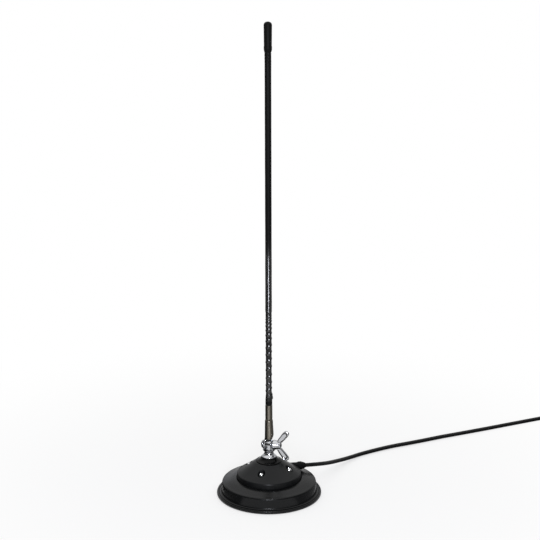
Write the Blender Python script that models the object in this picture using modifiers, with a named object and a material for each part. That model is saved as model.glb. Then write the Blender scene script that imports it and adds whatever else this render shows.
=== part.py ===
"""Magnetic mount antenna: a whip on a lockable tilt joint, standing on a rubber-booted magnet base.

Metres, +Z up. The origin is the middle of the boot's underside. The tilt joint's axis lies along +X,
with the wing nut at its +X end. Heights are stacked upwards from the floor.
"""
import math

import bmesh
import bpy
from mathutils import Matrix, Vector

# Clearances
GAP = 0.0003
RUNNING_GAP = 0.0003
ROUND_STEPS = 32
FINE_STEPS = 18

# Rubber boot
LIP_RADIUS = 0.0630
LIP_HEIGHT = 0.0040
LIP_WIDTH = 0.0055
BOOT_DRAFT = 0.0009
BOOT_WALL = 0.0022
BOOT_FLOOR = 0.0010
BOOT_SHOULDER = 0.0024
BOOT_MOUTH_WALL = 0.0017

# Magnet
CUP_HEIGHT = 0.0135
CUP_WALL = 0.0026
CUP_PLATE = 0.0030
MAGNET_CLEARANCE = 0.0012
POLE_RADIUS = 0.0170
POLE_SPACING = 0.0030

# Cover
COVER_RADIUS = 0.0385
COVER_HEIGHT = 0.0272
COVER_WALL = 0.0026
RIM_HEIGHT = 0.0120
FLANGE_EDGE_WALL = 0.0008
FLANGE_MARGIN = 0.0014
COVER_SEAT_RADIUS = 0.0163
SLOPE_HANDLE_RUN = 0.55
SLOPE_HANDLE_FALL = 0.57
RIM_CORNER = 0.0008
FLANGE_RISE = 0.0040

# Cover screws
SCREW_COUNT = 4
SCREW_INSET = 0.0127
SCREW_BEARING = math.radians(-5.5)
SCREW_HEAD_RADIUS = 0.0028
SCREW_HEAD_HEIGHT = 0.0021
SCREW_SHANK_RADIUS = 0.00145
SCREW_ENGAGEMENT = 0.8
SCREW_SLOT_WIDTH = 0.0007
SCREW_SLOT_DEPTH = 0.0009
POCKET_MARGIN = 0.0015
BOSS_WALL = 0.0015

# Insulating collar and bush
COLLAR_RADIUS = 0.0156
COLLAR_TOP_RADIUS = 0.0095
COLLAR_HEIGHT = 0.0052
COLLAR_EDGE = 0.0005
SPIGOT_RADIUS = 0.0076
SPIGOT_LENGTH = 0.0027
BUSH_RADIUS = 0.0120
BUSH_HEIGHT = 0.0030

# Knuckle base and its stud
STUD_RADIUS = 0.0029
STUD_LENGTH = 0.0170
KNUCKLE_FLANGE_RADIUS = 0.0090
KNUCKLE_FLANGE_HEIGHT = 0.0015
NECK_RADIUS = 0.0057
NECK_HEIGHT = 0.0085
NECK_TOP_RADIUS = 0.0066
NECK_WAIST_HEIGHT = 0.0050
PIVOT_RISE = 0.0151
NUT_ACROSS_FLATS = 0.0100
NUT_HEIGHT = 0.0047
TAG_RADIUS = 0.0058
TAG_THICKNESS = 0.0006
TAG_TAIL_LENGTH = 0.0135
TAG_TAIL_WIDTH = 0.0034
TAG_HOLE_RADIUS = 0.0010

# Tilt joint, measured along its axis from the middle of the whip
EAR_RADIUS = 0.0060
EAR_EDGE = 0.0009
JOINT_FACE_X = -0.0019
FIXED_EAR_X = 0.0034
MOVING_EAR_WIDTH = 0.0050
TOOTH_COUNT = 16
TOOTH_DEPTH = 0.0006
TOOTH_OUTER_RADIUS = 0.0053
TOOTH_INNER_RADIUS = 0.0032
TOOTH_ROOT = 0.0008

# Pivot screw, lock washer and wing nut
PIVOT_RADIUS = 0.00235
PIVOT_HEAD_RADIUS = 0.0049
PIVOT_HEAD_HEIGHT = 0.0022
PIVOT_SQUARE = 0.0052
PIVOT_SQUARE_LENGTH = 0.0022
PIVOT_END = 0.0008
WASHER_INNER_TEETH_RADIUS = 0.0039
WASHER_RADIUS = 0.0047
WASHER_THICKNESS = 0.0007
WASHER_TEETH = 12
HUB_RADIUS = 0.0060
HUB_END_RADIUS = 0.0046
HUB_LENGTH = 0.0100
HUB_NECK_LENGTH = 0.0042
HUB_EDGE = 0.0008
WING_SPREAD = math.radians(51)
WING_START = 0.0034
WING_REACH = 0.0222
WING_ROOT_WIDTH = 0.0052
WING_TIP_WIDTH = 0.0070
WING_CORNER = 0.0024
WING_THICKNESS = 0.0026
DISH_MARGIN = 0.0011
DISH_DEPTH = 0.0006
DISH_START = 0.0095

# Tilt ferrule and whip ferrule
FERRULE_CLEARANCE = 0.0006
FERRULE_RADIUS = 0.0054
FERRULE_TOP_RADIUS = 0.0047
FERRULE_LENGTH = 0.0254
FERRULE_ROUNDING = 0.0042
FERRULE_CHAMFER = 0.0006
SOCKET_DEPTH = 0.0125
WHIP_FERRULE_RADIUS = 0.0043
WHIP_FERRULE_LENGTH = 0.0168
WHIP_FERRULE_CHAMFER = 0.0004
CRIMP_RADIUS = 0.0035
CRIMP_LENGTH = 0.0088
ROD_SEAT = 0.0030

# Whip
ROD_RADIUS = 0.0031
ROD_NECK_RADIUS = 0.00245
ROD_CHAMFER = 0.0005
WIRE_RADIUS = 0.00025
COIL_START = 0.0136
SPACED_TURNS = 15
WIDEST_TURN = 12
PITCH_TOP = 0.0020
PITCH_WIDE = 0.0104
PITCH_END = 0.0070
WIRE_POINTS_PER_TURN = 10
CLOSE_WOUND_LENGTH = 0.0600
CLOSE_WOUND_GAP = 0.0025
SLEEVE_CUFF_RADIUS = 0.0041
SLEEVE_CUFF_LENGTH = 0.0092
SLEEVE_CUFF_TAPER = 0.0050
SLEEVE_WAIST_RADIUS = 0.00342
SLEEVE_RADIUS = 0.00368
SLEEVE_BORE_RADIUS = 0.0032
SLEEVE_LENGTH = 0.4440
RIDGE_RADIUS = 0.00042
RIDGE_RISE = 0.00025
CAP_RADIUS = 0.0046
CAP_LENGTH = 0.0338
CAP_OVERLAP = 0.0215
CAP_LIP_TAPER = 0.0030
CAP_WALL = 0.0006

# Cable gland: a line that leaves the cover at a bearing and falls a little
GLAND_BEARING = math.radians(47)
GLAND_FALL = math.radians(10)
GLAND_HEIGHT = 0.0269
GLAND_WIDEST_OUTSIDE = 0.0075
GLAND_OUTSIDE = 0.0137
GLAND_INSIDE = 0.0085
GLAND_ROOT_RADIUS = 0.0041
GLAND_RADIUS = 0.0047
GLAND_TIP_RADIUS = 0.0033
GLAND_EDGE = 0.0004
CABLE_INSIDE = 0.0115

# Cable, coil and tie. The route's points are chosen by hand, in metres.
CABLE_RADIUS = 0.0025
CABLE_POINTS = 46
TAIL_POINTS = 14
CABLE_ROUTE = [
    (0.0414, 0.0455, 0.0228), (0.0490, 0.0586, 0.0192), (0.0558, 0.0757, 0.0144), (0.0620, 0.0950, 0.0096),
    (0.0685, 0.1130, 0.0058), (0.0757, 0.1282, 0.0037), (0.0835, 0.1413, 0.0028), (0.1002, 0.1604, 0.0027),
    (0.1178, 0.1777, 0.0027), (0.1360, 0.1929, 0.0027), (0.1544, 0.2086, 0.0027), (0.1728, 0.2250, 0.0027),
    (0.1939, 0.2424, 0.0027), (0.2235, 0.2669, 0.0027), (0.2572, 0.2957, 0.0027), (0.2905, 0.3240, 0.0027),
    (0.3160, 0.3452, 0.0027)]
TAIL_ROUTE = [
    (0.4026, 0.3168, 0.0130), (0.4046, 0.3050, 0.0088), (0.4056, 0.2940, 0.0060), (0.4060, 0.2830, 0.0058),
    (0.4060, 0.2720, 0.0078), (0.4060, 0.2625, 0.0093)]
COIL_X = 0.3570
COIL_Y = 0.3240
COIL_MEAN_RADIUS = 0.0300
COIL_HALF_WIDTH = 0.0130
COIL_HEIGHT = 0.0204
COIL_ROUNDING = 0.0022
FLOOR_GAP = 0.0002
TIE_WIDTH = 0.0050
TIE_THICKNESS = 0.0013
TIE_SQUEEZE = 0.0018
TIE_HEAD_LENGTH = 0.0060
TIE_HEAD_HEIGHT = 0.0042

# Plug at the cable's end. Its axis runs along -Y from the reducer's back face.
PLUG_X = 0.4060
PLUG_BACK_Y = 0.2620
PLUG_Z = 0.0093
REDUCER_RADIUS = 0.0043
REDUCER_FLANGE = 0.0050
REDUCER_THREAD_RADIUS = 0.0036
REDUCER_LENGTH = 0.0140
PLUG_CHAMFER = 0.0005
PLUG_BODY_RADIUS = 0.0057
PLUG_BODY_LENGTH = 0.0270
PLUG_BORE_RADIUS = 0.0039
PLUG_FLANGE_RADIUS = 0.0071
PLUG_FLANGE_START = 0.0196
PLUG_FLANGE_LENGTH = 0.0020
PLUG_NOSE_BORE_RADIUS = 0.0045
PLUG_NOTCH_WIDTH = 0.0016
PLUG_NOTCH_DEPTH = 0.0014
SOLDER_HOLE_RADIUS = 0.0012
SOLDER_HOLE_PLACE = 0.0060
INSULATOR_START = 0.0223
INSULATOR_LENGTH = 0.0092
PIN_RADIUS = 0.00195
PIN_LENGTH = 0.0200
PIN_START = 0.0205
RING_RADIUS = 0.0091
RING_START = 0.0170
RING_LENGTH = 0.0190
RING_LIP_LENGTH = 0.0020
RING_LIP_BORE_RADIUS = 0.0061
RING_BORE_RADIUS = 0.0077
RING_FLUTES = 20
RING_FLUTE_DEPTH = 0.00035
RING_PLAIN_BAND = 0.0022
RING_EDGE = 0.0002

# Leads inside the cover
LEAD_RADIUS = 0.0006
EARTH_LEAD_RADIUS = 0.0009
EARTH_LEAD_SETBACK = 0.0045

# Heights stacked from the floor
CUP_BOTTOM = BOOT_FLOOR + GAP
CUP_TOP = CUP_BOTTOM + CUP_HEIGHT
COVER_BOTTOM = CUP_TOP + GAP
COVER_TOP = COVER_BOTTOM + COVER_HEIGHT
RIM_TOP = COVER_BOTTOM + RIM_HEIGHT
COLLAR_BOTTOM = COVER_TOP + GAP
COLLAR_TOP = COLLAR_BOTTOM + COLLAR_HEIGHT
KNUCKLE_BOTTOM = COLLAR_TOP + GAP
NECK_TOP = KNUCKLE_BOTTOM + NECK_HEIGHT
PIVOT_Z = KNUCKLE_BOTTOM + PIVOT_RISE
FERRULE_BOTTOM = PIVOT_Z + EAR_RADIUS + FERRULE_CLEARANCE
FERRULE_TOP = FERRULE_BOTTOM + FERRULE_LENGTH
WHIP_FERRULE_BOTTOM = FERRULE_TOP + GAP
WHIP_FERRULE_TOP = WHIP_FERRULE_BOTTOM + WHIP_FERRULE_LENGTH
SLEEVE_BOTTOM = WHIP_FERRULE_TOP + GAP
COIL_BOTTOM = SLEEVE_BOTTOM + COIL_START
SLEEVE_TOP = SLEEVE_BOTTOM + SLEEVE_LENGTH
CAP_BOTTOM = SLEEVE_TOP - CAP_OVERLAP
CAP_TOP = CAP_BOTTOM + CAP_LENGTH
ROD_BOTTOM = WHIP_FERRULE_BOTTOM + ROD_SEAT

# Radii that follow from their neighbours
BOOT_WALL_RADIUS = LIP_RADIUS - LIP_WIDTH
CUP_RADIUS = BOOT_WALL_RADIUS - BOOT_WALL - GAP
BOOT_MOUTH_RADIUS = COVER_RADIUS + GAP
SCREW_CIRCLE = COVER_RADIUS - SCREW_INSET
GLAND_START = COVER_RADIUS - GLAND_INSIDE
GLAND_WIDEST = COVER_RADIUS + GLAND_WIDEST_OUTSIDE
GLAND_END = COVER_RADIUS + GLAND_OUTSIDE
CABLE_START = COVER_RADIUS - CABLE_INSIDE
PIVOT_BORE_RADIUS = PIVOT_RADIUS + RUNNING_GAP
GLAND_BORE_RADIUS = CABLE_RADIUS + GAP
POCKET_RADIUS = SCREW_HEAD_RADIUS + POCKET_MARGIN
CLOSE_WOUND_RADIUS = ROD_NECK_RADIUS + GAP / 3 + 2 * WIRE_RADIUS
COIL_INNER_RADIUS = COIL_MEAN_RADIUS - COIL_HALF_WIDTH
COIL_OUTER_RADIUS = COIL_MEAN_RADIUS + COIL_HALF_WIDTH

# Turning an upright piece so that its +Z lies along the tilt axis, or along the plug
ALONG_TILT_AXIS = Matrix.Translation((0, 0, PIVOT_Z)) @ Matrix.Rotation(math.radians(90), 4, "Y")
ALONG_PLUG = Matrix.Translation((PLUG_X, PLUG_BACK_Y, PLUG_Z)) @ Matrix.Rotation(math.radians(90), 4, "X")


def clear_scene():
    """Remove what the scene holds and make the two collections."""
    for item in list(bpy.data.objects):
        bpy.data.objects.remove(item, do_unlink=True)
    collections = []
    for name in ("magnetic_mount_antenna", "cutters"):
        group = bpy.data.collections.new(name)
        bpy.context.scene.collection.children.link(group)
        collections.append(group)
    return collections


PARTS, CUTTERS = clear_scene()


def finish(name, colour, roughness, metallic=0.0):
    """One Principled material."""
    material = bpy.data.materials.new(name)
    material.use_nodes = True
    shader = material.node_tree.nodes["Principled BSDF"]
    shader.inputs["Base Color"].default_value = (*colour, 1.0)
    shader.inputs["Roughness"].default_value = roughness
    shader.inputs["Metallic"].default_value = metallic
    return material


def add_object(name, data, colour_of=None, place=None):
    """Link a new object, in the cutters' collection when it has no finish."""
    item = bpy.data.objects.new(name, data)
    if colour_of is None:
        CUTTERS.objects.link(item)
        item.hide_render = True
        item.display_type = "WIRE"
    else:
        PARTS.objects.link(item)
        data.materials.append(finish(name, *colour_of))
    if place is not None:
        item.matrix_world = place
    return item


def turned(name, profile, colour_of=None, place=None, steps=ROUND_STEPS, ring=False):
    """Turn a profile of (radius, height) points about Z: down the outer side, then up the inner one."""
    mesh = bpy.data.meshes.new(name)
    edges = [(i, i + 1) for i in range(len(profile) - 1)]
    if ring:
        edges.append((len(profile) - 1, 0))
    mesh.from_pydata([(radius, 0, height) for radius, height in profile], edges, [])
    item = add_object(name, mesh, colour_of, place)
    screw = item.modifiers.new("turn", "SCREW")
    screw.steps = steps
    screw.render_steps = steps
    screw.use_merge_vertices = True
    screw.merge_threshold = 0.00001
    screw.use_smooth_shade = True
    return item


def cylinder(name, radius, low, high, colour_of=None, place=None, steps=FINE_STEPS):
    """A plain round bar between two heights."""
    return turned(name, [(0, high), (radius, high), (radius, low), (0, low)], colour_of, place, steps)


def box(name, low, high, colour_of=None, place=None):
    """A block between two corners."""
    mesh = bpy.data.meshes.new(name)
    solid = bmesh.new()
    bmesh.ops.create_cube(solid, size=1.0)
    size = Vector(high) - Vector(low)
    middle = (Vector(high) + Vector(low)) / 2
    place_block = Matrix.Translation(middle) @ Matrix.Diagonal((*size, 1))
    bmesh.ops.transform(solid, matrix=place_block, verts=solid.verts)
    solid.to_mesh(mesh)
    solid.free()
    return add_object(name, mesh, colour_of, place)


def as_mesh(curve_item, colour_of=None):
    """Swap a curve object for a mesh object of the same shape, with its caps welded."""
    bpy.context.view_layer.update()
    graph = bpy.context.evaluated_depsgraph_get()
    mesh = bpy.data.meshes.new_from_object(curve_item.evaluated_get(graph))
    solid = bmesh.new()
    solid.from_mesh(mesh)
    bmesh.ops.remove_doubles(solid, verts=solid.verts, dist=0.000001)
    solid.to_mesh(mesh)
    solid.free()
    mesh.materials.clear()
    name, place = curve_item.name, curve_item.matrix_world.copy()
    bpy.data.objects.remove(curve_item, do_unlink=True)
    return add_object(name, mesh, colour_of, place)


def tube(name, points, radius, colour_of=None, resolution=2):
    """A round wire through points, as a curve with filled caps."""
    curve = bpy.data.curves.new(name, "CURVE")
    curve.dimensions = "3D"
    curve.bevel_depth = radius
    curve.bevel_resolution = resolution
    curve.use_fill_caps = True
    spline = curve.splines.new("POLY")
    spline.points.add(len(points) - 1)
    for spot, point in zip(spline.points, points):
        spot.co = (*point, 1)
    return add_object(name, curve, colour_of)


def plate(name, outlines, low, high, colour_of=None, place=None):
    """A flat outline, with any holes, filled and given its thickness."""
    curve = bpy.data.curves.new(name, "CURVE")
    curve.dimensions = "2D"
    curve.fill_mode = "BOTH"
    curve.extrude = (high - low) / 2
    for outline in outlines:
        spline = curve.splines.new("POLY")
        spline.points.add(len(outline) - 1)
        for spot, (x, y) in zip(spline.points, outline):
            spot.co = (x, y, 0, 1)
        spline.use_cyclic_u = True
    middle = Matrix.Translation((0, 0, (low + high) / 2))
    item = add_object(name, curve, None, middle if place is None else place @ middle)
    return as_mesh(item, colour_of)


def combine(piece, other, operation):
    """Join, cut or trim a piece with another object, which stays behind as a guide."""
    boolean = piece.modifiers.new(operation.lower(), "BOOLEAN")
    boolean.operation = operation
    boolean.solver = "EXACT"
    boolean.object = other
    weld = piece.modifiers.new("weld", "WELD")
    weld.merge_threshold = 0.000003
    return piece


def circle(radius, count, start=0.0):
    """Corners of a regular polygon."""
    angles = [start + math.tau * k / count for k in range(count)]
    return [(radius * math.cos(a), radius * math.sin(a)) for a in angles]


def arc(centre, radius, start, end, count):
    """Points on a circular arc in a profile, angles in degrees."""
    angles = [math.radians(start + (end - start) * k / count) for k in range(count + 1)]
    return [(centre[0] + radius * math.cos(a), centre[1] + radius * math.sin(a)) for a in angles]


def bend(first, handle, last, count):
    """Points on a quadratic curve between two profile points."""
    points = []
    for k in range(count + 1):
        t = k / count
        a, b, c = (1 - t) ** 2, 2 * t * (1 - t), t ** 2
        points.append((a * first[0] + b * handle[0] + c * last[0],
                       a * first[1] + b * handle[1] + c * last[1]))
    return points


def smooth_route(route, count):
    """Points at even steps of the parameter on a smooth curve that passes through the route's points."""
    points = [Vector(p) for p in route]
    padded = [2 * points[0] - points[1], *points, 2 * points[-1] - points[-2]]
    result = []
    for k in range(count):
        place = k / (count - 1) * (len(points) - 1)
        i = min(int(place), len(points) - 2)
        t = place - i
        a, b, c, d = padded[i:i + 4]
        result.append(((2 * b) + (c - a) * t + (2 * a - 5 * b + 4 * c - d) * t ** 2
                       + (3 * b - a - 3 * c + d) * t ** 3) / 2)
    return result


# Finishes: colour, roughness, metallic
RUBBER = ((0.020, 0.020, 0.022), 0.55)
PAINTED = ((0.018, 0.018, 0.020), 0.35)
GLOSS_BLACK = ((0.010, 0.010, 0.012), 0.12)
CHROME = ((0.80, 0.80, 0.82), 0.08, 1.0)
NICKEL = ((0.52, 0.50, 0.46), 0.25, 1.0)
STEEL = ((0.45, 0.45, 0.47), 0.35, 1.0)
BRASS = ((0.70, 0.55, 0.25), 0.25, 1.0)
FERRITE = ((0.060, 0.060, 0.065), 0.70)
SHRINK = ((0.012, 0.012, 0.012), 0.38)
GLASS_ROD = ((0.62, 0.60, 0.48), 0.45)
ENAMEL_WIRE = ((0.45, 0.16, 0.06), 0.25, 1.0)
NYLON = ((0.80, 0.78, 0.70), 0.45)


def rubber_boot():
    """Stretched rubber cup: lip, nearly upright wall, rounded shoulder and a roof up to the mouth."""
    floor_edge = LIP_RADIUS - 0.3 * LIP_HEIGHT
    shoulder_radius = BOOT_WALL_RADIUS - BOOT_DRAFT
    shoulder_z = CUP_TOP + BOOT_WALL - BOOT_SHOULDER
    roof_edge = (shoulder_radius - BOOT_SHOULDER, CUP_TOP + BOOT_WALL + 0.2 * BOOT_SHOULDER)
    mouth_z = flange_top_at(COVER_RADIUS) + GAP + BOOT_MOUTH_WALL
    inner = CUP_RADIUS + GAP
    profile = [(BOOT_MOUTH_RADIUS, mouth_z)]
    profile += bend(roof_edge, (shoulder_radius - 0.2 * BOOT_SHOULDER, roof_edge[1] - 0.1 * BOOT_SHOULDER),
                    (shoulder_radius, shoulder_z), 3)
    profile += bend((BOOT_WALL_RADIUS, 1.3 * LIP_HEIGHT), (BOOT_WALL_RADIUS, LIP_HEIGHT),
                    (BOOT_WALL_RADIUS + 0.3 * LIP_HEIGHT, LIP_HEIGHT), 2)
    profile += arc((LIP_RADIUS - 0.5 * LIP_HEIGHT, 0.5 * LIP_HEIGHT), 0.5 * LIP_HEIGHT, 90, -40, 4)
    profile += [(floor_edge, 0), (0, 0)]
    outside = turned("rubber_boot", [(0, mouth_z), *profile], RUBBER)
    roof_rise = (mouth_z - BOOT_MOUTH_WALL) - CUP_TOP
    hollow = [(0, mouth_z + BOOT_WALL), (BOOT_MOUTH_RADIUS, mouth_z + BOOT_WALL),
              (BOOT_MOUTH_RADIUS, CUP_TOP + roof_rise),
              (CUP_RADIUS - FLANGE_MARGIN + GAP, CUP_TOP + 2 * GAP + FLANGE_EDGE_WALL),
              (inner, CUP_TOP + GAP), (inner, BOOT_FLOOR), (0, BOOT_FLOOR)]
    return combine(outside, turned("boot_hollow", hollow), "DIFFERENCE")


def flange_top_at(radius):
    """Height of the sloping top of the cover's flange at a radius."""
    outer = CUP_RADIUS - FLANGE_MARGIN
    share = (outer - radius) / (outer - COVER_RADIUS)
    return COVER_BOTTOM + FLANGE_EDGE_WALL + share * (FLANGE_RISE - FLANGE_EDGE_WALL)


def magnet():
    """Steel cup, upside down over the ring magnet and its pole disc, with threaded holes for the screws."""
    inner = CUP_RADIUS - CUP_WALL
    profile = [(0, CUP_TOP), (CUP_RADIUS - 0.5 * CUP_WALL, CUP_TOP), (CUP_RADIUS, CUP_TOP - 0.5 * CUP_WALL),
               (CUP_RADIUS, CUP_BOTTOM), (inner, CUP_BOTTOM), (inner, CUP_TOP - CUP_PLATE),
               (0, CUP_TOP - CUP_PLATE)]
    cup = turned("magnet_cup", profile, STEEL)
    for k in range(SCREW_COUNT):
        hole = cylinder(f"cup_hole_{k + 1}", SCREW_SHANK_RADIUS + GAP, CUP_TOP - 2 * CUP_PLATE,
                        CUP_TOP + CUP_PLATE, place=screw_place(k), steps=12)
        combine(cup, hole, "DIFFERENCE")
    low, high = CUP_BOTTOM + GAP, CUP_TOP - CUP_PLATE - GAP
    magnet_outer = inner - MAGNET_CLEARANCE
    magnet_inner = POLE_RADIUS + POLE_SPACING
    section = [(magnet_outer, high), (magnet_outer, low), (magnet_inner, low), (magnet_inner, high)]
    turned("ring_magnet", section, FERRITE, ring=True)
    cylinder("pole_disc", POLE_RADIUS, CUP_BOTTOM, high, STEEL, steps=ROUND_STEPS)


def cover_slope(radius_shift=0.0, drop=0.0, count=4):
    """Outer slope of the cover, from its top seat to its rim: slightly hollow."""
    run = COVER_RADIUS - COVER_SEAT_RADIUS
    fall = COVER_TOP - RIM_TOP
    first = (COVER_SEAT_RADIUS - radius_shift, COVER_TOP - drop)
    handle = (COVER_SEAT_RADIUS + SLOPE_HANDLE_RUN * run - radius_shift,
              COVER_TOP - SLOPE_HANDLE_FALL * fall - drop)
    last = (COVER_RADIUS - radius_shift, RIM_TOP - drop)
    return bend(first, handle, last, count)


def slope_height_at(radius):
    """Height of the cover's slope at a radius, along the chord of the slope."""
    points = cover_slope()
    for (r1, z1), (r2, z2) in zip(points, points[1:]):
        if r1 <= radius <= r2:
            return z1 + (z2 - z1) * (radius - r1) / (r2 - r1)
    return RIM_TOP


def screw_place(index):
    """Placement of one cover screw's axis."""
    return Matrix.Rotation(SCREW_BEARING + math.tau * index / SCREW_COUNT, 4, "Z") @ Matrix.Translation(
        (SCREW_CIRCLE, 0, 0))


def gland_place():
    """Placement whose origin lies on the antenna's axis and whose +Z runs out along the gland."""
    outward = Vector((math.cos(GLAND_BEARING) * math.cos(GLAND_FALL),
                      math.sin(GLAND_BEARING) * math.cos(GLAND_FALL), -math.sin(GLAND_FALL)))
    start = Vector((0, 0, GLAND_HEIGHT + COVER_RADIUS * math.tan(GLAND_FALL)))
    return Matrix.Translation(start) @ outward.to_track_quat("Z", "Y").to_matrix().to_4x4()


def cover():
    """Moulded cone with screw pockets over bosses, a hole for the gland and a flange under the boot."""
    corner = RIM_CORNER
    outer = [(0, COVER_TOP)] + cover_slope()[:-1]
    outer += [(COVER_RADIUS - corner, RIM_TOP + 0.5 * corner),
              (COVER_RADIUS - 0.2 * corner, RIM_TOP - 0.2 * corner),
              (COVER_RADIUS, RIM_TOP - corner), (COVER_RADIUS, flange_top_at(COVER_RADIUS)),
              (CUP_RADIUS - FLANGE_MARGIN, COVER_BOTTOM + FLANGE_EDGE_WALL),
              (CUP_RADIUS - FLANGE_MARGIN, COVER_BOTTOM), (0, COVER_BOTTOM)]
    shell = turned("cover", outer, PAINTED)
    slope = cover_slope(radius_shift=0.5 * COVER_WALL, drop=COVER_WALL, count=3)
    inner_radius = COVER_RADIUS - COVER_WALL
    inside = [(0, COVER_TOP - COVER_WALL)] + slope[:-1]
    inside += [(inner_radius, RIM_TOP - COVER_WALL), (inner_radius, COVER_BOTTOM - COVER_WALL),
               (0, COVER_BOTTOM - COVER_WALL)]
    hollow = turned("cover_hollow", inside)
    pocket_floor = screw_seat()
    for k in range(SCREW_COUNT):
        boss = cylinder(f"boss_{k + 1}", POCKET_RADIUS + BOSS_WALL, COVER_BOTTOM - 2 * COVER_WALL,
                        COVER_TOP + COVER_WALL, place=screw_place(k), steps=12)
        combine(hollow, boss, "DIFFERENCE")
    combine(shell, hollow, "DIFFERENCE")
    for k in range(SCREW_COUNT):
        steps = [(0, COVER_TOP), (POCKET_RADIUS, COVER_TOP), (POCKET_RADIUS, pocket_floor),
                 (SCREW_SHANK_RADIUS + GAP, pocket_floor),
                 (SCREW_SHANK_RADIUS + GAP, COVER_BOTTOM - COVER_WALL), (0, COVER_BOTTOM - COVER_WALL)]
        combine(shell, turned(f"pocket_{k + 1}", steps, place=screw_place(k), steps=14), "DIFFERENCE")
    neck = cylinder("neck_hole", SPIGOT_RADIUS + GAP, COVER_TOP - 2 * COVER_WALL, COVER_TOP + COVER_WALL)
    combine(shell, neck, "DIFFERENCE")
    side = cylinder("gland_hole", GLAND_ROOT_RADIUS + 2 * GAP, CABLE_START - COVER_WALL, GLAND_WIDEST,
                    place=gland_place())
    combine(shell, side, "DIFFERENCE")
    return shell


def screw_seat():
    """Height of the pockets' floors: level with the slope at each pocket's lower side."""
    return slope_height_at(SCREW_CIRCLE + POCKET_RADIUS)


def cover_screws():
    """Domed screws with a cross slot, standing upright in their pockets."""
    seat = screw_seat() + GAP
    crown = seat + SCREW_HEAD_HEIGHT
    head = [(0, crown)]
    head += bend((0.3 * SCREW_HEAD_RADIUS, crown), (SCREW_HEAD_RADIUS, crown),
                 (SCREW_HEAD_RADIUS, seat + 0.3 * SCREW_HEAD_HEIGHT), 3)
    shank_end = CUP_TOP - SCREW_ENGAGEMENT * CUP_PLATE
    profile = head + [(SCREW_HEAD_RADIUS, seat), (SCREW_SHANK_RADIUS, seat),
                      (SCREW_SHANK_RADIUS, shank_end + 0.5 * SCREW_SHANK_RADIUS),
                      (0.5 * SCREW_SHANK_RADIUS, shank_end), (0, shank_end)]
    reach = 0.62 * SCREW_HEAD_RADIUS
    floor = seat + SCREW_HEAD_HEIGHT - SCREW_SLOT_DEPTH
    top = seat + 2 * SCREW_HEAD_HEIGHT
    half = SCREW_SLOT_WIDTH / 2
    for k in range(SCREW_COUNT):
        screw = turned(f"cover_screw_{k + 1}", profile, CHROME, screw_place(k), steps=12)
        cross = box(f"cross_{k + 1}", (-reach, -half, floor), (reach, half, top), place=screw_place(k))
        bar = box(f"cross_bar_{k + 1}", (-half, -reach, floor), (half, reach, top), place=screw_place(k))
        combine(cross, bar, "UNION")
        combine(screw, cross, "DIFFERENCE")


def insulators():
    """Glossy collar on the cover, with its spigot through the cover's top, and the bush inside."""
    bore = STUD_RADIUS + GAP
    edge = COLLAR_EDGE
    flare = COLLAR_TOP_RADIUS + 0.35 * (COLLAR_RADIUS - COLLAR_TOP_RADIUS)
    collar = [(COLLAR_TOP_RADIUS, COLLAR_TOP)]
    collar += bend((COLLAR_TOP_RADIUS, COLLAR_TOP - edge), (flare, COLLAR_BOTTOM + 0.45 * COLLAR_HEIGHT),
                   (COLLAR_RADIUS, COLLAR_BOTTOM + edge), 3)
    collar += [(COLLAR_RADIUS, COLLAR_BOTTOM), (SPIGOT_RADIUS, COLLAR_BOTTOM),
               (SPIGOT_RADIUS, COLLAR_BOTTOM - SPIGOT_LENGTH), (bore, COLLAR_BOTTOM - SPIGOT_LENGTH),
               (bore, COLLAR_TOP)]
    turned("insulator_collar", collar, GLOSS_BLACK, ring=True, steps=28)
    top = bush_top()
    section = [(BUSH_RADIUS, top), (BUSH_RADIUS, top - BUSH_HEIGHT), (bore, top - BUSH_HEIGHT), (bore, top)]
    turned("insulator_bush", section, NYLON, ring=True, steps=FINE_STEPS)


def bush_top():
    """Top of the inner bush, against the cover's roof from below."""
    return min(COVER_TOP - COVER_WALL, COLLAR_BOTTOM - SPIGOT_LENGTH) - GAP


def stud_hardware():
    """Solder tag and hexagon nut that pull the stud down against the bush."""
    bore = STUD_RADIUS + GAP
    tag_top = bush_top() - BUSH_HEIGHT - GAP
    tag_low = tag_top - TAG_THICKNESS
    turn = Matrix.Rotation(GLAND_BEARING, 4, "Z")
    half = TAG_TAIL_WIDTH / 2
    neck = math.sqrt(TAG_RADIUS ** 2 - half ** 2)
    start = math.atan2(half, neck)
    rim = [(TAG_RADIUS * math.cos(start + (math.tau - 2 * start) * k / 20),
            TAG_RADIUS * math.sin(start + (math.tau - 2 * start) * k / 20)) for k in range(21)]
    outline = rim + [(TAG_TAIL_LENGTH - half, -half), (TAG_TAIL_LENGTH, 0), (TAG_TAIL_LENGTH - half, half)]
    hole = [(TAG_TAIL_LENGTH - 2 * half + x, y) for x, y in circle(TAG_HOLE_RADIUS, 10)]
    plate("solder_tag", [outline, circle(bore, 20), hole], tag_low, tag_top, BRASS, turn)
    nut_top = tag_low - GAP
    hexagon = circle(NUT_ACROSS_FLATS / math.sqrt(3), 6)
    plate("stud_nut", [hexagon, circle(bore, 20)], nut_top - NUT_HEIGHT, nut_top, STEEL)
    return tag_low


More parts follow.
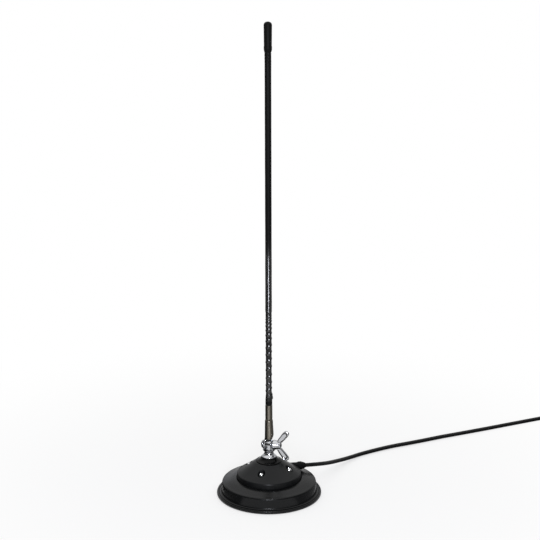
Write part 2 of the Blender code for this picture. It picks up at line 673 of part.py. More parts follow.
def tooth_ring(name, tip_x, root_x):
    """Ring of radial teeth on a joint face: a fan of ridges that point at tip_x and stand on root_x.

    Corners alternate between crest and groove, and the teeth shrink towards the joint's axis.
    """
    inward = TOOTH_DEPTH if root_x > tip_x else -TOOTH_DEPTH
    solid = bmesh.new()
    rings = []
    for radius in (TOOTH_INNER_RADIUS, TOOTH_OUTER_RADIUS):
        share = radius / TOOTH_OUTER_RADIUS
        crest, groove = tip_x, tip_x + inward * share
        fronts, backs = [], []
        for k, (y, z) in enumerate(circle(radius, 2 * TOOTH_COUNT, start=0.3 / TOOTH_COUNT)):
            fronts.append(solid.verts.new((crest if k % 2 else groove, y, z)))
            backs.append(solid.verts.new((root_x, y, z)))
        rings.append((fronts, backs))
    (inner_front, inner_back), (outer_front, outer_back) = rings
    count = 2 * TOOTH_COUNT
    for k in range(count):
        n = (k + 1) % count
        solid.faces.new((inner_front[k], outer_front[k], outer_front[n], inner_front[n]))
        solid.faces.new((outer_front[k], outer_back[k], outer_back[n], outer_front[n]))
        solid.faces.new((outer_back[k], inner_back[k], inner_back[n], outer_back[n]))
        solid.faces.new((inner_back[k], inner_front[k], inner_front[n], inner_back[n]))
    bmesh.ops.triangulate(solid, faces=solid.faces)
    bmesh.ops.recalc_face_normals(solid, faces=solid.faces)
    mesh = bpy.data.meshes.new(name)
    solid.to_mesh(mesh)
    solid.free()
    return add_object(name, mesh, None, Matrix.Translation((0, 0, PIVOT_Z)))


def ear_disc(name, low, high, round_low, round_high, colour_of=None):
    """Round ear on the tilt axis, with its chosen edges rounded."""
    profile = [(0, high)]
    if round_high:
        profile += bend((EAR_RADIUS - EAR_EDGE, high), (EAR_RADIUS, high), (EAR_RADIUS, high - EAR_EDGE), 3)
    else:
        profile.append((EAR_RADIUS, high))
    if round_low:
        profile += bend((EAR_RADIUS, low + EAR_EDGE), (EAR_RADIUS, low), (EAR_RADIUS - EAR_EDGE, low), 3)
    else:
        profile.append((EAR_RADIUS, low))
    profile.append((0, low))
    return turned(name, profile, colour_of, ALONG_TILT_AXIS, steps=FINE_STEPS)


def knuckle_base():
    """Flange, waisted neck that widens again to its top, and the fixed ear, with the stud below."""
    flange_top = KNUCKLE_BOTTOM + KNUCKLE_FLANGE_HEIGHT
    edge = 0.3 * KNUCKLE_FLANGE_HEIGHT
    waist_z = KNUCKLE_BOTTOM + NECK_WAIST_HEIGHT
    body = [(0, NECK_TOP), (NECK_TOP_RADIUS - edge, NECK_TOP), (NECK_TOP_RADIUS, NECK_TOP - edge)]
    body += [(NECK_RADIUS, waist_z)]
    body += bend((NECK_RADIUS, waist_z), (NECK_RADIUS, flange_top + 0.15 * NECK_HEIGHT),
                 (KNUCKLE_FLANGE_RADIUS - edge, flange_top), 4)[1:]
    body += [(KNUCKLE_FLANGE_RADIUS, flange_top - edge), (KNUCKLE_FLANGE_RADIUS, KNUCKLE_BOTTOM + edge),
             (KNUCKLE_FLANGE_RADIUS - edge, KNUCKLE_BOTTOM), (STUD_RADIUS, KNUCKLE_BOTTOM),
             (STUD_RADIUS, KNUCKLE_BOTTOM - STUD_LENGTH), (0, KNUCKLE_BOTTOM - STUD_LENGTH)]
    base = turned("knuckle_base", body, CHROME, steps=24)
    face = JOINT_FACE_X + GAP / 2
    ear_face = face + TOOTH_ROOT
    web = cylinder("fixed_web", NECK_RADIUS - edge / 2, NECK_TOP - edge, PIVOT_Z)
    keep = box("fixed_web_keep", (ear_face + edge / 4, -2 * NECK_RADIUS, 0),
               (FIXED_EAR_X - edge / 4, 2 * NECK_RADIUS, PIVOT_Z + EAR_RADIUS))
    combine(web, keep, "INTERSECT")
    combine(base, web, "UNION")
    combine(base, ear_disc("fixed_ear", ear_face, FIXED_EAR_X, False, True), "UNION")
    bore = cylinder("fixed_bore", PIVOT_BORE_RADIUS, face - EAR_RADIUS, FIXED_EAR_X + EAR_RADIUS,
                    place=ALONG_TILT_AXIS, steps=16)
    combine(base, bore, "DIFFERENCE")
    combine(base, tooth_ring("fixed_teeth", face, ear_face + TOOTH_DEPTH), "UNION")
    return base


def tilt_ferrule():
    """Lower ferrule: round-bottomed barrel whose left half runs down into the moving ear."""
    waist = FERRULE_BOTTOM + 0.28 * FERRULE_LENGTH
    body = [(0, FERRULE_TOP), (FERRULE_TOP_RADIUS - FERRULE_CHAMFER, FERRULE_TOP),
            (FERRULE_TOP_RADIUS, FERRULE_TOP - FERRULE_CHAMFER), (FERRULE_RADIUS, waist)]
    body += bend((FERRULE_RADIUS, FERRULE_BOTTOM + FERRULE_ROUNDING), (FERRULE_RADIUS, FERRULE_BOTTOM),
                 (FERRULE_RADIUS - 0.8 * FERRULE_ROUNDING, FERRULE_BOTTOM), 4)
    body.append((0, FERRULE_BOTTOM))
    barrel = turned("tilt_ferrule", body, NICKEL, steps=24)
    face = JOINT_FACE_X - GAP / 2
    ear_face = face - TOOTH_ROOT
    far_face = ear_face - MOVING_EAR_WIDTH + TOOTH_ROOT
    web = cylinder("moving_web", FERRULE_RADIUS - GAP / 2, PIVOT_Z, waist)
    keep = box("moving_web_keep", (far_face + GAP, -2 * FERRULE_RADIUS, 0),
               (ear_face - GAP / 2, 2 * FERRULE_RADIUS, FERRULE_TOP))
    combine(web, keep, "INTERSECT")
    combine(barrel, web, "UNION")
    combine(barrel, ear_disc("moving_ear", far_face, ear_face, True, False), "UNION")
    bore = cylinder("moving_bore", PIVOT_BORE_RADIUS, far_face - EAR_RADIUS, face + EAR_RADIUS,
                    place=ALONG_TILT_AXIS, steps=16)
    combine(barrel, bore, "DIFFERENCE")
    half = PIVOT_SQUARE / 2 + GAP
    square = box("square_recess", (far_face - EAR_RADIUS, -half, PIVOT_Z - half),
                 (far_face + PIVOT_SQUARE_LENGTH + GAP, half, PIVOT_Z + half))
    combine(barrel, square, "DIFFERENCE")
    socket = cylinder("stud_socket", STUD_RADIUS + GAP, FERRULE_TOP - SOCKET_DEPTH,
                      FERRULE_TOP + SOCKET_DEPTH)
    combine(barrel, socket, "DIFFERENCE")
    combine(barrel, tooth_ring("moving_teeth", face, ear_face - TOOTH_DEPTH), "UNION")
    return far_face


def washer_x():
    """Inner face of the lock washer along the tilt axis."""
    return FIXED_EAR_X + GAP


def hub_x():
    """Inner face of the wing nut along the tilt axis."""
    return washer_x() + WASHER_THICKNESS + GAP


def pivot_screw(head_seat):
    """Domed screw whose square neck sits in the moving ear; the wing nut runs on its other end."""
    seat = head_seat - GAP
    end = hub_x() + HUB_LENGTH + PIVOT_END
    chamfer = 0.25 * PIVOT_RADIUS
    profile = [(0, end), (PIVOT_RADIUS - chamfer, end), (PIVOT_RADIUS, end - chamfer), (PIVOT_RADIUS, seat),
               (PIVOT_HEAD_RADIUS, seat)]
    profile += bend((PIVOT_HEAD_RADIUS, seat - 0.2 * PIVOT_HEAD_HEIGHT),
                    (PIVOT_HEAD_RADIUS, seat - PIVOT_HEAD_HEIGHT),
                    (0.15 * PIVOT_HEAD_RADIUS, seat - PIVOT_HEAD_HEIGHT), 5)
    profile.append((0, seat - PIVOT_HEAD_HEIGHT))
    screw = turned("pivot_screw", profile, CHROME, ALONG_TILT_AXIS, steps=FINE_STEPS)
    half = PIVOT_SQUARE / 2
    neck = box("square_neck", (seat - 0.2 * PIVOT_HEAD_HEIGHT, -half, PIVOT_Z - half),
               (seat + PIVOT_SQUARE_LENGTH, half, PIVOT_Z + half))
    return combine(screw, neck, "UNION")


def lock_washer():
    """Flat washer with teeth round its outside."""
    outline = []
    for k in range(4 * WASHER_TEETH):
        radius = WASHER_RADIUS if k % 4 in (1, 2) else WASHER_INNER_TEETH_RADIUS
        angle = math.tau * (k - 0.25 * (k % 4 in (1, 3))) / (4 * WASHER_TEETH)
        outline.append((radius * math.cos(angle), radius * math.sin(angle)))
    low = washer_x()
    plate("lock_washer", [outline, circle(PIVOT_BORE_RADIUS, 24)], low, low + WASHER_THICKNESS, STEEL,
          ALONG_TILT_AXIS)


def wing_outline(start, margin):
    """Outline of one wing in its own frame: (along the wing, across it), widening to a rounded end."""
    def half_width(along):
        share = (along - WING_START) / (WING_REACH - WING_START)
        return (WING_ROOT_WIDTH + (WING_TIP_WIDTH - WING_ROOT_WIDTH) * share) / 2 - margin
    end = WING_REACH - margin
    corner = min(WING_CORNER, 0.9 * half_width(end))
    side = half_width(end - corner)
    upper = arc((end - corner, side - corner), corner, 0, 90, 3)
    lower = [(u, -v) for u, v in reversed(upper)]
    return [(start, half_width(start)), (start, -half_width(start))] + lower + upper


def wing_place(side):
    """Placement of a wing's outline: X along the wing, Z across its thickness. side is +1 or -1."""
    root = Matrix.Translation((hub_x() + WING_START, 0, PIVOT_Z))
    stand = Matrix.Rotation(math.radians(90), 4, "X")
    return root @ stand @ Matrix.Rotation(side * WING_SPREAD, 4, "Z")


def wing_nut():
    """Turned hub with two flared wings, each dished on both faces."""
    low, high = hub_x(), hub_x() + HUB_LENGTH
    edge = HUB_EDGE
    shoulder = high - HUB_NECK_LENGTH
    profile = [(0, high)]
    profile += bend((HUB_END_RADIUS - 1.2 * edge, high), (HUB_END_RADIUS, high),
                    (HUB_END_RADIUS, high - 1.7 * edge), 2)
    profile.append((HUB_END_RADIUS + 0.5 * edge, shoulder + 1.5 * edge))
    profile += bend((HUB_RADIUS - edge, shoulder), (HUB_RADIUS, shoulder - edge),
                    (HUB_RADIUS, low + 2.7 * edge), 3)
    profile += [(HUB_RADIUS - 0.2 * edge, low + edge), (HUB_RADIUS - 0.8 * edge, low), (0, low)]
    nut = turned("wing_nut", profile, CHROME, ALONG_TILT_AXIS, steps=FINE_STEPS)
    half = WING_THICKNESS / 2
    for label, side in (("upper", 1), ("lower", -1)):
        place = wing_place(side)
        wing = plate(f"wing_{label}", [wing_outline(WING_START, 0)], -half, half, place=place)
        combine(nut, wing, "UNION")
        for face, sign in (("front", 1), ("back", -1)):
            low_side, high_side = sorted((sign * (half - DISH_DEPTH), sign * (half + DISH_DEPTH)))
            dish = plate(f"dish_{label}_{face}", [wing_outline(DISH_START, DISH_MARGIN)], low_side,
                         high_side, place=place)
            combine(nut, dish, "DIFFERENCE")
    bore = cylinder("nut_bore", PIVOT_BORE_RADIUS, low - HUB_LENGTH, high + HUB_LENGTH,
                    place=ALONG_TILT_AXIS, steps=14)
    return combine(nut, bore, "DIFFERENCE")


def whip_ferrule():
    """Upper ferrule: barrel, crimp tube under the sleeve, stud in the tilt ferrule, seat for the rod."""
    edge = WHIP_FERRULE_CHAMFER
    rod_bore = ROD_NECK_RADIUS + GAP
    stud_end = WHIP_FERRULE_BOTTOM - SOCKET_DEPTH + 2 * GAP + edge
    crimp_top = WHIP_FERRULE_TOP + CRIMP_LENGTH
    bar = [(0, crimp_top), (CRIMP_RADIUS, crimp_top), (CRIMP_RADIUS, WHIP_FERRULE_TOP),
           (WHIP_FERRULE_RADIUS, WHIP_FERRULE_TOP), (WHIP_FERRULE_RADIUS, WHIP_FERRULE_BOTTOM + edge),
           (WHIP_FERRULE_RADIUS - edge, WHIP_FERRULE_BOTTOM), (STUD_RADIUS, WHIP_FERRULE_BOTTOM),
           (STUD_RADIUS, stud_end), (0, stud_end)]
    ferrule = turned("whip_ferrule", bar, NICKEL, steps=20)
    seat = cylinder("rod_seat", rod_bore, ROD_BOTTOM - GAP, crimp_top + CRIMP_LENGTH, steps=20)
    return combine(ferrule, seat, "DIFFERENCE")


def turn_heights():
    """Height of each half-step of the spaced winding, from its top turn down.

    The pitch widens evenly to the widest turn and then closes up a little.
    """
    heights, z = [], 0.0
    steps = SPACED_TURNS * WIRE_POINTS_PER_TURN
    for k in range(steps + 1):
        heights.append(z)
        turn = (k + 0.5) / WIRE_POINTS_PER_TURN
        if turn < WIDEST_TURN:
            pitch = PITCH_TOP + (PITCH_WIDE - PITCH_TOP) * turn / WIDEST_TURN
        else:
            share = (turn - WIDEST_TURN) / (SPACED_TURNS - WIDEST_TURN)
            pitch = PITCH_WIDE + (PITCH_END - PITCH_WIDE) * share
        z += pitch / WIRE_POINTS_PER_TURN
    total = heights[-1]
    return [COIL_BOTTOM + total - h for h in heights]


def winding_points(radius):
    """Points of the spaced winding at a radius, top to bottom."""
    step = -math.tau / WIRE_POINTS_PER_TURN
    return [(radius * math.cos(k * step), radius * math.sin(k * step), z)
            for k, z in enumerate(turn_heights())]


def close_wound():
    """Bottom and top of the close-wound stretch above the spaced turns."""
    bottom = turn_heights()[0] + CLOSE_WOUND_GAP
    return bottom, bottom + CLOSE_WOUND_LENGTH


def whip_rod():
    """Glass fibre rod, necked where the ferrule and the winding sit."""
    shoulder = close_wound()[1] + GAP
    top = SLEEVE_TOP - GAP
    profile = [(0, top), (ROD_RADIUS - ROD_CHAMFER, top), (ROD_RADIUS, top - ROD_CHAMFER),
               (ROD_RADIUS, shoulder), (ROD_NECK_RADIUS, shoulder), (ROD_NECK_RADIUS, ROD_BOTTOM),
               (0, ROD_BOTTOM)]
    turned("whip_rod", profile, GLASS_ROD, steps=20)


def loading_coil():
    """Close-wound stretch as one tube, with the spaced turns running down from it."""
    bottom, top = close_wound()
    bore = ROD_NECK_RADIUS + GAP / 3
    section = [(CLOSE_WOUND_RADIUS, top), (CLOSE_WOUND_RADIUS, bottom), (bore, bottom), (bore, top)]
    stretch = turned("loading_coil", section, ENAMEL_WIRE, steps=16, ring=True)
    middle = (bore + CLOSE_WOUND_RADIUS) / 2 + GAP / 3
    points = winding_points(middle)
    lead_in = [(points[0][0], points[0][1], bottom + 2 * WIRE_RADIUS)]
    wire = tube("spaced_turns", lead_in + points, WIRE_RADIUS, resolution=0)
    combine(stretch, as_mesh(wire), "UNION")


def shrink_sleeve():
    """Heat-shrink over the whip: cuff over the crimp, ridges over the spaced turns, smooth above them."""
    cuff_top = SLEEVE_BOTTOM + SLEEVE_CUFF_LENGTH
    waist = cuff_top + SLEEVE_CUFF_TAPER
    bottom = close_wound()[0]
    profile = [(0, SLEEVE_TOP), (SLEEVE_RADIUS, SLEEVE_TOP), (SLEEVE_RADIUS, bottom + CLOSE_WOUND_GAP),
               (SLEEVE_WAIST_RADIUS, bottom), (SLEEVE_WAIST_RADIUS, waist)]
    profile += bend((SLEEVE_WAIST_RADIUS, waist), (SLEEVE_WAIST_RADIUS, cuff_top + 0.3 * SLEEVE_CUFF_TAPER),
                    (SLEEVE_CUFF_RADIUS, cuff_top), 3)[1:]
    profile += [(SLEEVE_CUFF_RADIUS, SLEEVE_BOTTOM), (0, SLEEVE_BOTTOM)]
    sleeve = turned("shrink_sleeve", profile, SHRINK, steps=14)
    ridge_path = winding_points(SLEEVE_WAIST_RADIUS - RIDGE_RADIUS + RIDGE_RISE)
    ridge = tube("ridge", ridge_path, RIDGE_RADIUS, resolution=0)
    combine(sleeve, as_mesh(ridge), "UNION")
    cuff_bore = CRIMP_RADIUS + GAP
    crimp_top = WHIP_FERRULE_TOP + CRIMP_LENGTH + GAP
    bore = turned("sleeve_bore", [(0, SLEEVE_TOP + CAP_LENGTH), (ROD_RADIUS + GAP, SLEEVE_TOP + CAP_LENGTH),
                                  (ROD_RADIUS + GAP, close_wound()[0] + CLOSE_WOUND_GAP),
                                  (SLEEVE_BORE_RADIUS, close_wound()[0]), (SLEEVE_BORE_RADIUS, waist),
                                  (cuff_bore, crimp_top), (cuff_bore, SLEEVE_BOTTOM - CRIMP_LENGTH),
                                  (0, SLEEVE_BOTTOM - CRIMP_LENGTH)], steps=14)
    combine(sleeve, bore, "DIFFERENCE")


def tip_cap():
    """Rubber cap: domed top, straight skirt, lip that closes on the sleeve."""
    bore = SLEEVE_RADIUS + GAP
    dome = arc((0, CAP_TOP - CAP_RADIUS), CAP_RADIUS, 90, 0, 6)
    profile = dome + [(CAP_RADIUS, CAP_BOTTOM + CAP_LIP_TAPER), (bore + CAP_WALL, CAP_BOTTOM)]
    profile.append((0, CAP_BOTTOM))
    profile[0] = (0, CAP_TOP)
    cap = turned("tip_cap", profile, RUBBER, steps=16)
    hollow = cylinder("cap_hollow", bore, CAP_BOTTOM - CAP_OVERLAP, SLEEVE_TOP + GAP, steps=16)
    combine(cap, hollow, "DIFFERENCE")


def cable_gland():
    """Rubber strain relief: swells away from the cover and closes on the cable."""
    edge = GLAND_EDGE
    nose = GLAND_END - GLAND_WIDEST
    profile = [(GLAND_TIP_RADIUS - edge, GLAND_END), (GLAND_TIP_RADIUS, GLAND_END - edge)]
    profile += bend((GLAND_TIP_RADIUS + edge, GLAND_END - 0.35 * nose),
                    (GLAND_RADIUS, GLAND_END - 0.5 * nose), (GLAND_RADIUS, GLAND_WIDEST), 4)
    profile += [(GLAND_RADIUS - 0.2 * edge, GLAND_WIDEST - 0.3 * nose),
                (GLAND_ROOT_RADIUS, 0.5 * (GLAND_WIDEST + GLAND_START)),
                (GLAND_ROOT_RADIUS, GLAND_START), (GLAND_BORE_RADIUS, GLAND_START),
                (GLAND_BORE_RADIUS, GLAND_END)]
    turned("cable_gland", profile, RUBBER, gland_place(), steps=20, ring=True)


def cable_pieces():
    """Cable to the coil, the coil's outer form with its tie, and the tail to the plug."""
    lead_out = [gland_place() @ Vector((0, 0, CABLE_START + share * (GLAND_END - GAP - CABLE_START)))
                for share in (0.0, 0.33, 0.66, 1.0)]
    tube("cable", smooth_route(lead_out + CABLE_ROUTE, CABLE_POINTS), CABLE_RADIUS, RUBBER)
    tube("cable_tail", smooth_route(TAIL_ROUTE, TAIL_POINTS), CABLE_RADIUS, RUBBER)
    centre = Matrix.Translation((COIL_X, COIL_Y, 0))
    low, high, edge = FLOOR_GAP, COIL_HEIGHT, COIL_ROUNDING
    inner, outer = COIL_INNER_RADIUS, COIL_OUTER_RADIUS
    profile = [(outer - edge, high), (outer, high - edge), (outer, low + edge), (outer - edge, low),
               (inner + edge, low), (inner, low + edge), (inner, high - edge), (inner + edge, high)]
    coil = turned("cable_coil", profile, RUBBER, centre, ring=True, steps=28)
    squeeze, wall = TIE_SQUEEZE, TIE_THICKNESS
    near = COIL_Y - COIL_OUTER_RADIUS
    far = COIL_Y - COIL_INNER_RADIUS
    groove_half = TIE_WIDTH / 2 + GAP
    groove = box("tie_groove", (COIL_X - groove_half, near - wall, low - wall),
                 (COIL_X + groove_half, far + 2 * wall, high + wall))
    core = box("tie_core", (COIL_X - TIE_WIDTH, near + squeeze, low + squeeze),
               (COIL_X + TIE_WIDTH, far - squeeze, high - squeeze))
    combine(groove, core, "DIFFERENCE")
    combine(coil, groove, "DIFFERENCE")
    half = TIE_WIDTH / 2
    outer_low = (COIL_X - half, near + squeeze - GAP - wall, low + squeeze - GAP - wall)
    outer_high = (COIL_X + half, far - squeeze + GAP + wall, high - squeeze + GAP + wall)
    tie = box("cable_tie", outer_low, outer_high, NYLON)
    head_half = half + GAP / 3
    head = box("tie_head", (COIL_X - head_half, near + squeeze - TIE_HEAD_HEIGHT, 0.5 * high),
               (COIL_X + head_half, near + squeeze - GAP - 0.5 * wall, 0.5 * high + TIE_HEAD_LENGTH))
    combine(tie, head, "UNION")
    eye = box("tie_eye", (COIL_X - TIE_WIDTH, near + squeeze - GAP, low + squeeze - GAP),
              (COIL_X + TIE_WIDTH, far - squeeze + GAP, high - squeeze + GAP))
    combine(tie, eye, "DIFFERENCE")


def plug():
    """Coaxial plug: reducer, body with notched nose, insulator, pin and fluted coupling ring."""
    reducer_bore = CABLE_RADIUS + GAP
    reducer = [(REDUCER_THREAD_RADIUS, REDUCER_LENGTH), (REDUCER_THREAD_RADIUS, REDUCER_FLANGE),
               (REDUCER_RADIUS, REDUCER_FLANGE), (REDUCER_RADIUS, PLUG_CHAMFER),
               (REDUCER_RADIUS - PLUG_CHAMFER, 0), (reducer_bore, 0), (reducer_bore, REDUCER_LENGTH)]
    turned("plug_reducer", reducer, NICKEL, ALONG_PLUG, steps=24, ring=True)
    back = REDUCER_FLANGE + GAP
    front = back + PLUG_BODY_LENGTH
    flange_end = PLUG_FLANGE_START + PLUG_FLANGE_LENGTH
    profile = [(0, front), (PLUG_BODY_RADIUS, front), (PLUG_BODY_RADIUS, flange_end),
               (PLUG_FLANGE_RADIUS, flange_end), (PLUG_FLANGE_RADIUS, PLUG_FLANGE_START),
               (PLUG_BODY_RADIUS, PLUG_FLANGE_START), (PLUG_BODY_RADIUS, back + PLUG_CHAMFER),
               (PLUG_BODY_RADIUS - PLUG_CHAMFER, back), (0, back)]
    body = turned("plug_body", profile, NICKEL, ALONG_PLUG, steps=FINE_STEPS)
    rear = cylinder("rear_bore", PLUG_BORE_RADIUS, -back, PLUG_FLANGE_START - GAP, place=ALONG_PLUG,
                    steps=20)
    combine(body, rear, "DIFFERENCE")
    nose_floor = INSULATOR_START - GAP
    nose = cylinder("nose_bore", PLUG_NOSE_BORE_RADIUS, nose_floor, front + back, place=ALONG_PLUG,
                    steps=20)
    combine(body, nose, "DIFFERENCE")
    pin_hole = cylinder("pin_hole", PIN_RADIUS + GAP, back, front, place=ALONG_PLUG, steps=16)
    combine(body, pin_hole, "DIFFERENCE")
    half = PLUG_NOTCH_WIDTH / 2
    for k in range(2):
        turn = ALONG_PLUG @ Matrix.Rotation(math.radians(45 + 90 * k), 4, "Z")
        notch = box(f"notch_{k + 1}", (-RING_RADIUS, -half, front - PLUG_NOTCH_DEPTH),
                    (RING_RADIUS, half, front + PLUG_NOTCH_DEPTH), place=turn)
        combine(body, notch, "DIFFERENCE")
        across = turn @ Matrix.Translation((0, 0, back + SOLDER_HOLE_PLACE)) @ Matrix.Rotation(
            math.radians(90), 4, "Y")
        hole = cylinder(f"solder_hole_{k + 1}", SOLDER_HOLE_RADIUS, -RING_RADIUS, RING_RADIUS, place=across,
                        steps=8)
        combine(body, hole, "DIFFERENCE")
    insulator_end = INSULATOR_START + INSULATOR_LENGTH
    insulator_radius = PLUG_NOSE_BORE_RADIUS - GAP
    bore = PIN_RADIUS + GAP
    section = [(insulator_radius, insulator_end), (insulator_radius, INSULATOR_START),
               (bore, INSULATOR_START), (bore, insulator_end)]
    turned("plug_insulator", section, NYLON, ALONG_PLUG, steps=24, ring=True)
    pin_end = PIN_START + PIN_LENGTH
    pin = [(0, pin_end)]
    pin += bend((0.35 * PIN_RADIUS, pin_end), (PIN_RADIUS, pin_end), (PIN_RADIUS, pin_end - PIN_RADIUS), 3)
    turned("plug_pin", pin + [(PIN_RADIUS, PIN_START), (0, PIN_START)], BRASS, ALONG_PLUG, steps=16)
    coupling_ring()


def coupling_ring():
    """Fluted nut that turns on the plug's body, held by the body's flange behind its inner lip."""
    end = RING_START + RING_LENGTH
    step = math.tau / (2 * RING_FLUTES)
    flutes = [(radius * math.cos(k * step), radius * math.sin(k * step))
              for k, radius in enumerate([RING_RADIUS, RING_RADIUS - RING_FLUTE_DEPTH] * RING_FLUTES)]
    ring = plate("coupling_ring", [flutes], RING_START + RING_EDGE, end - RING_PLAIN_BAND, NICKEL,
                 ALONG_PLUG)
    plain = RING_RADIUS - RING_FLUTE_DEPTH - RING_EDGE
    combine(ring, cylinder("ring_core", plain, RING_START, end, place=ALONG_PLUG, steps=24), "UNION")
    lip_end = RING_START + RING_LIP_LENGTH
    profile = [(0, end + RING_LENGTH), (RING_BORE_RADIUS, end + RING_LENGTH), (RING_BORE_RADIUS, lip_end),
               (RING_LIP_BORE_RADIUS, lip_end), (RING_LIP_BORE_RADIUS, RING_START - RING_LENGTH),
               (0, RING_START - RING_LENGTH)]
    hollow = turned("ring_hollow", profile, place=ALONG_PLUG, steps=24)
    combine(ring, hollow, "DIFFERENCE")


def leads(tag_low):
    """Centre lead from the cable to the solder tag, and earth lead down to the magnet cup."""
    place = gland_place()
    start = place @ Vector((0, 0, CABLE_START - 2 * GAP))
    outward = Vector((math.cos(GLAND_BEARING), math.sin(GLAND_BEARING), 0))
    side = Vector((-outward.y, outward.x, 0))
    tag_spot = outward * (TAG_TAIL_LENGTH - TAG_TAIL_WIDTH) + Vector((0, 0, tag_low - LEAD_RADIUS - GAP))
    above = start + side * 2 * LEAD_RADIUS
    route = [above, above - outward * 4 * LEAD_RADIUS + Vector((0, 0, 2 * LEAD_RADIUS)),
             tag_spot + outward * 6 * LEAD_RADIUS - Vector((0, 0, 2 * LEAD_RADIUS)), tag_spot]
    tube("centre_lead", smooth_route(route, 12), LEAD_RADIUS, ENAMEL_WIRE, resolution=1)
    below = start - side * 3 * EARTH_LEAD_RADIUS
    foot = outward * (CABLE_START - EARTH_LEAD_SETBACK) - side * 3 * EARTH_LEAD_RADIUS
    foot += Vector((0, 0, COVER_BOTTOM))
    route = [below, below - outward * 3 * EARTH_LEAD_RADIUS - Vector((0, 0, 2 * EARTH_LEAD_RADIUS)),
             foot + Vector((0, 0, 8 * EARTH_LEAD_RADIUS)), foot]
    tube("earth_lead", smooth_route(route, 12), EARTH_LEAD_RADIUS, BRASS, resolution=1)


def main():
    """Build every piece."""
    rubber_boot()
    magnet()
    cover()
    cover_screws()
    insulators()
    tag_low = stud_hardware()
    knuckle_base()
    head_seat = tilt_ferrule()
    pivot_screw(head_seat)
    lock_washer()
    wing_nut()
    whip_ferrule()
    whip_rod()
    loading_coil()
    shrink_sleeve()
    tip_cap()
    cable_gland()
    cable_pieces()
    plug()
    leads(tag_low)


main()
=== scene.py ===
"""Dressed model of a magnetic mount antenna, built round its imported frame.

Metres in the mesh and millimetres in the tables, +Z up, the tilt joint's axis along +X. Every new piece is a grid of
points worked out with numpy and joined to one closed mesh.
"""

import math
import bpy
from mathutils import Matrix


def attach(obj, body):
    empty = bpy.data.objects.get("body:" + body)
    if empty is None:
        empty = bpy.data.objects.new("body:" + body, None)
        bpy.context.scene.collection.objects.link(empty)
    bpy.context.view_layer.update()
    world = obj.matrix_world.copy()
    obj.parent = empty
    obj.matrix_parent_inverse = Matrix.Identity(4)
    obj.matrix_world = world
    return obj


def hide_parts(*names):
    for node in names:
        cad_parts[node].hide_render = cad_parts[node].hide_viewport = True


bl_info = {
    "name": "Magnetic mount antenna",
    "version": (1, 0, 0),
    "blender": (4, 5, 0),
    "location": "View3D > Sidebar > Antenna",
    "description": "Builds the dressed pieces of a magnetic mount antenna round its packed frame",
    "category": "Object",
}

import bmesh
import bpy
import numpy as np
from bpy.props import FloatProperty, FloatVectorProperty, IntProperty, PointerProperty
from mathutils import Matrix, Vector

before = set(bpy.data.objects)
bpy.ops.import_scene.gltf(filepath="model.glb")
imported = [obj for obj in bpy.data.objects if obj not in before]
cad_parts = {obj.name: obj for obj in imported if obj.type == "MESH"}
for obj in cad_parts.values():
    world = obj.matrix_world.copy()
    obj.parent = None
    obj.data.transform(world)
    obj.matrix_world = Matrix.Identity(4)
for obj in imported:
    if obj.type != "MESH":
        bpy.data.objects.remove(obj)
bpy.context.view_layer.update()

MM = 0.001
TAU = math.tau
PIVOT_Z = 63.2
FRONT_BEARING = math.radians(-75)
RIM_RADIUS = 38.5

# Placements of the tilt axis (a turned piece's +Z becomes +X), of the plug (its +Z becomes -Y) and of the gland
ON_TILT_AXIS = Matrix.Translation((0, 0, PIVOT_Z * MM)) @ Matrix.Rotation(math.radians(90), 4, "Y")
ON_PLUG = Matrix.Translation((0.406, 0.262, 0.0093)) @ Matrix.Rotation(math.radians(90), 4, "X")
GLAND_BEARING = math.radians(47)
GLAND_FALL = math.radians(10)
GLAND_MOUTH_Z, GLAND_END = 26.9, 52.2
GLAND_LINE = Vector((math.cos(GLAND_BEARING) * math.cos(GLAND_FALL),
                     math.sin(GLAND_BEARING) * math.cos(GLAND_FALL), -math.sin(GLAND_FALL)))
GLAND_ORIGIN = Vector((0, 0, (GLAND_MOUTH_Z + RIM_RADIUS * math.tan(GLAND_FALL)) * MM))
ON_GLAND = Matrix.Translation(GLAND_ORIGIN) @ GLAND_LINE.to_track_quat("Z", "Y").to_matrix().to_4x4()

# Route of the cable over the boot and across the floor, and of its tail to the plug, in metres
CABLE_ROUTE = [
    (0.0414, 0.0455, 0.0228), (0.0490, 0.0586, 0.0192), (0.0558, 0.0757, 0.0144), (0.0620, 0.0950, 0.0096),
    (0.0685, 0.1130, 0.0058), (0.0757, 0.1282, 0.0037), (0.0835, 0.1413, 0.0028), (0.1002, 0.1604, 0.0027),
    (0.1178, 0.1777, 0.0027), (0.1360, 0.1929, 0.0027), (0.1544, 0.2086, 0.0027), (0.1728, 0.2250, 0.0027),
    (0.1939, 0.2424, 0.0027), (0.2235, 0.2669, 0.0027), (0.2572, 0.2957, 0.0027), (0.2905, 0.3240, 0.0027),
    (0.3160, 0.3452, 0.0027), (0.3345, 0.3574, 0.0027)]
TAIL_ROUTE = [
    (0.4026, 0.3168, 0.0130), (0.4046, 0.3050, 0.0088), (0.4056, 0.2940, 0.0060), (0.4060, 0.2830, 0.0058),
    (0.4060, 0.2720, 0.0078), (0.4060, 0.2625, 0.0093)]
# Coil in mm: its middle, turns, layers, mean radius, half its width, and the height of its middle and of a layer
COIL_CENTRE = (357.0, 324.0)
COIL_TURNS, COIL_LAYERS = 16.29, 4
COIL_RADIUS, COIL_SPREAD = 30, 10.3
COIL_MIDDLE, LAYER_HEIGHT, CABLE_LEVEL = 10.2, 5.0, 2.7

# Camera at the photograph's angle, and the bearing that the room's walls brighten towards
CAMERA_PLACE = (0.4688, -1.7379, 0.7967)
CAMERA_TURN = [math.radians(angle) for angle in (90 - 15.99, 0.14, 15)]
ROOM_REAR = (-0.2588, 0.9659, 0.0)
FLOOR_Z = -0.3

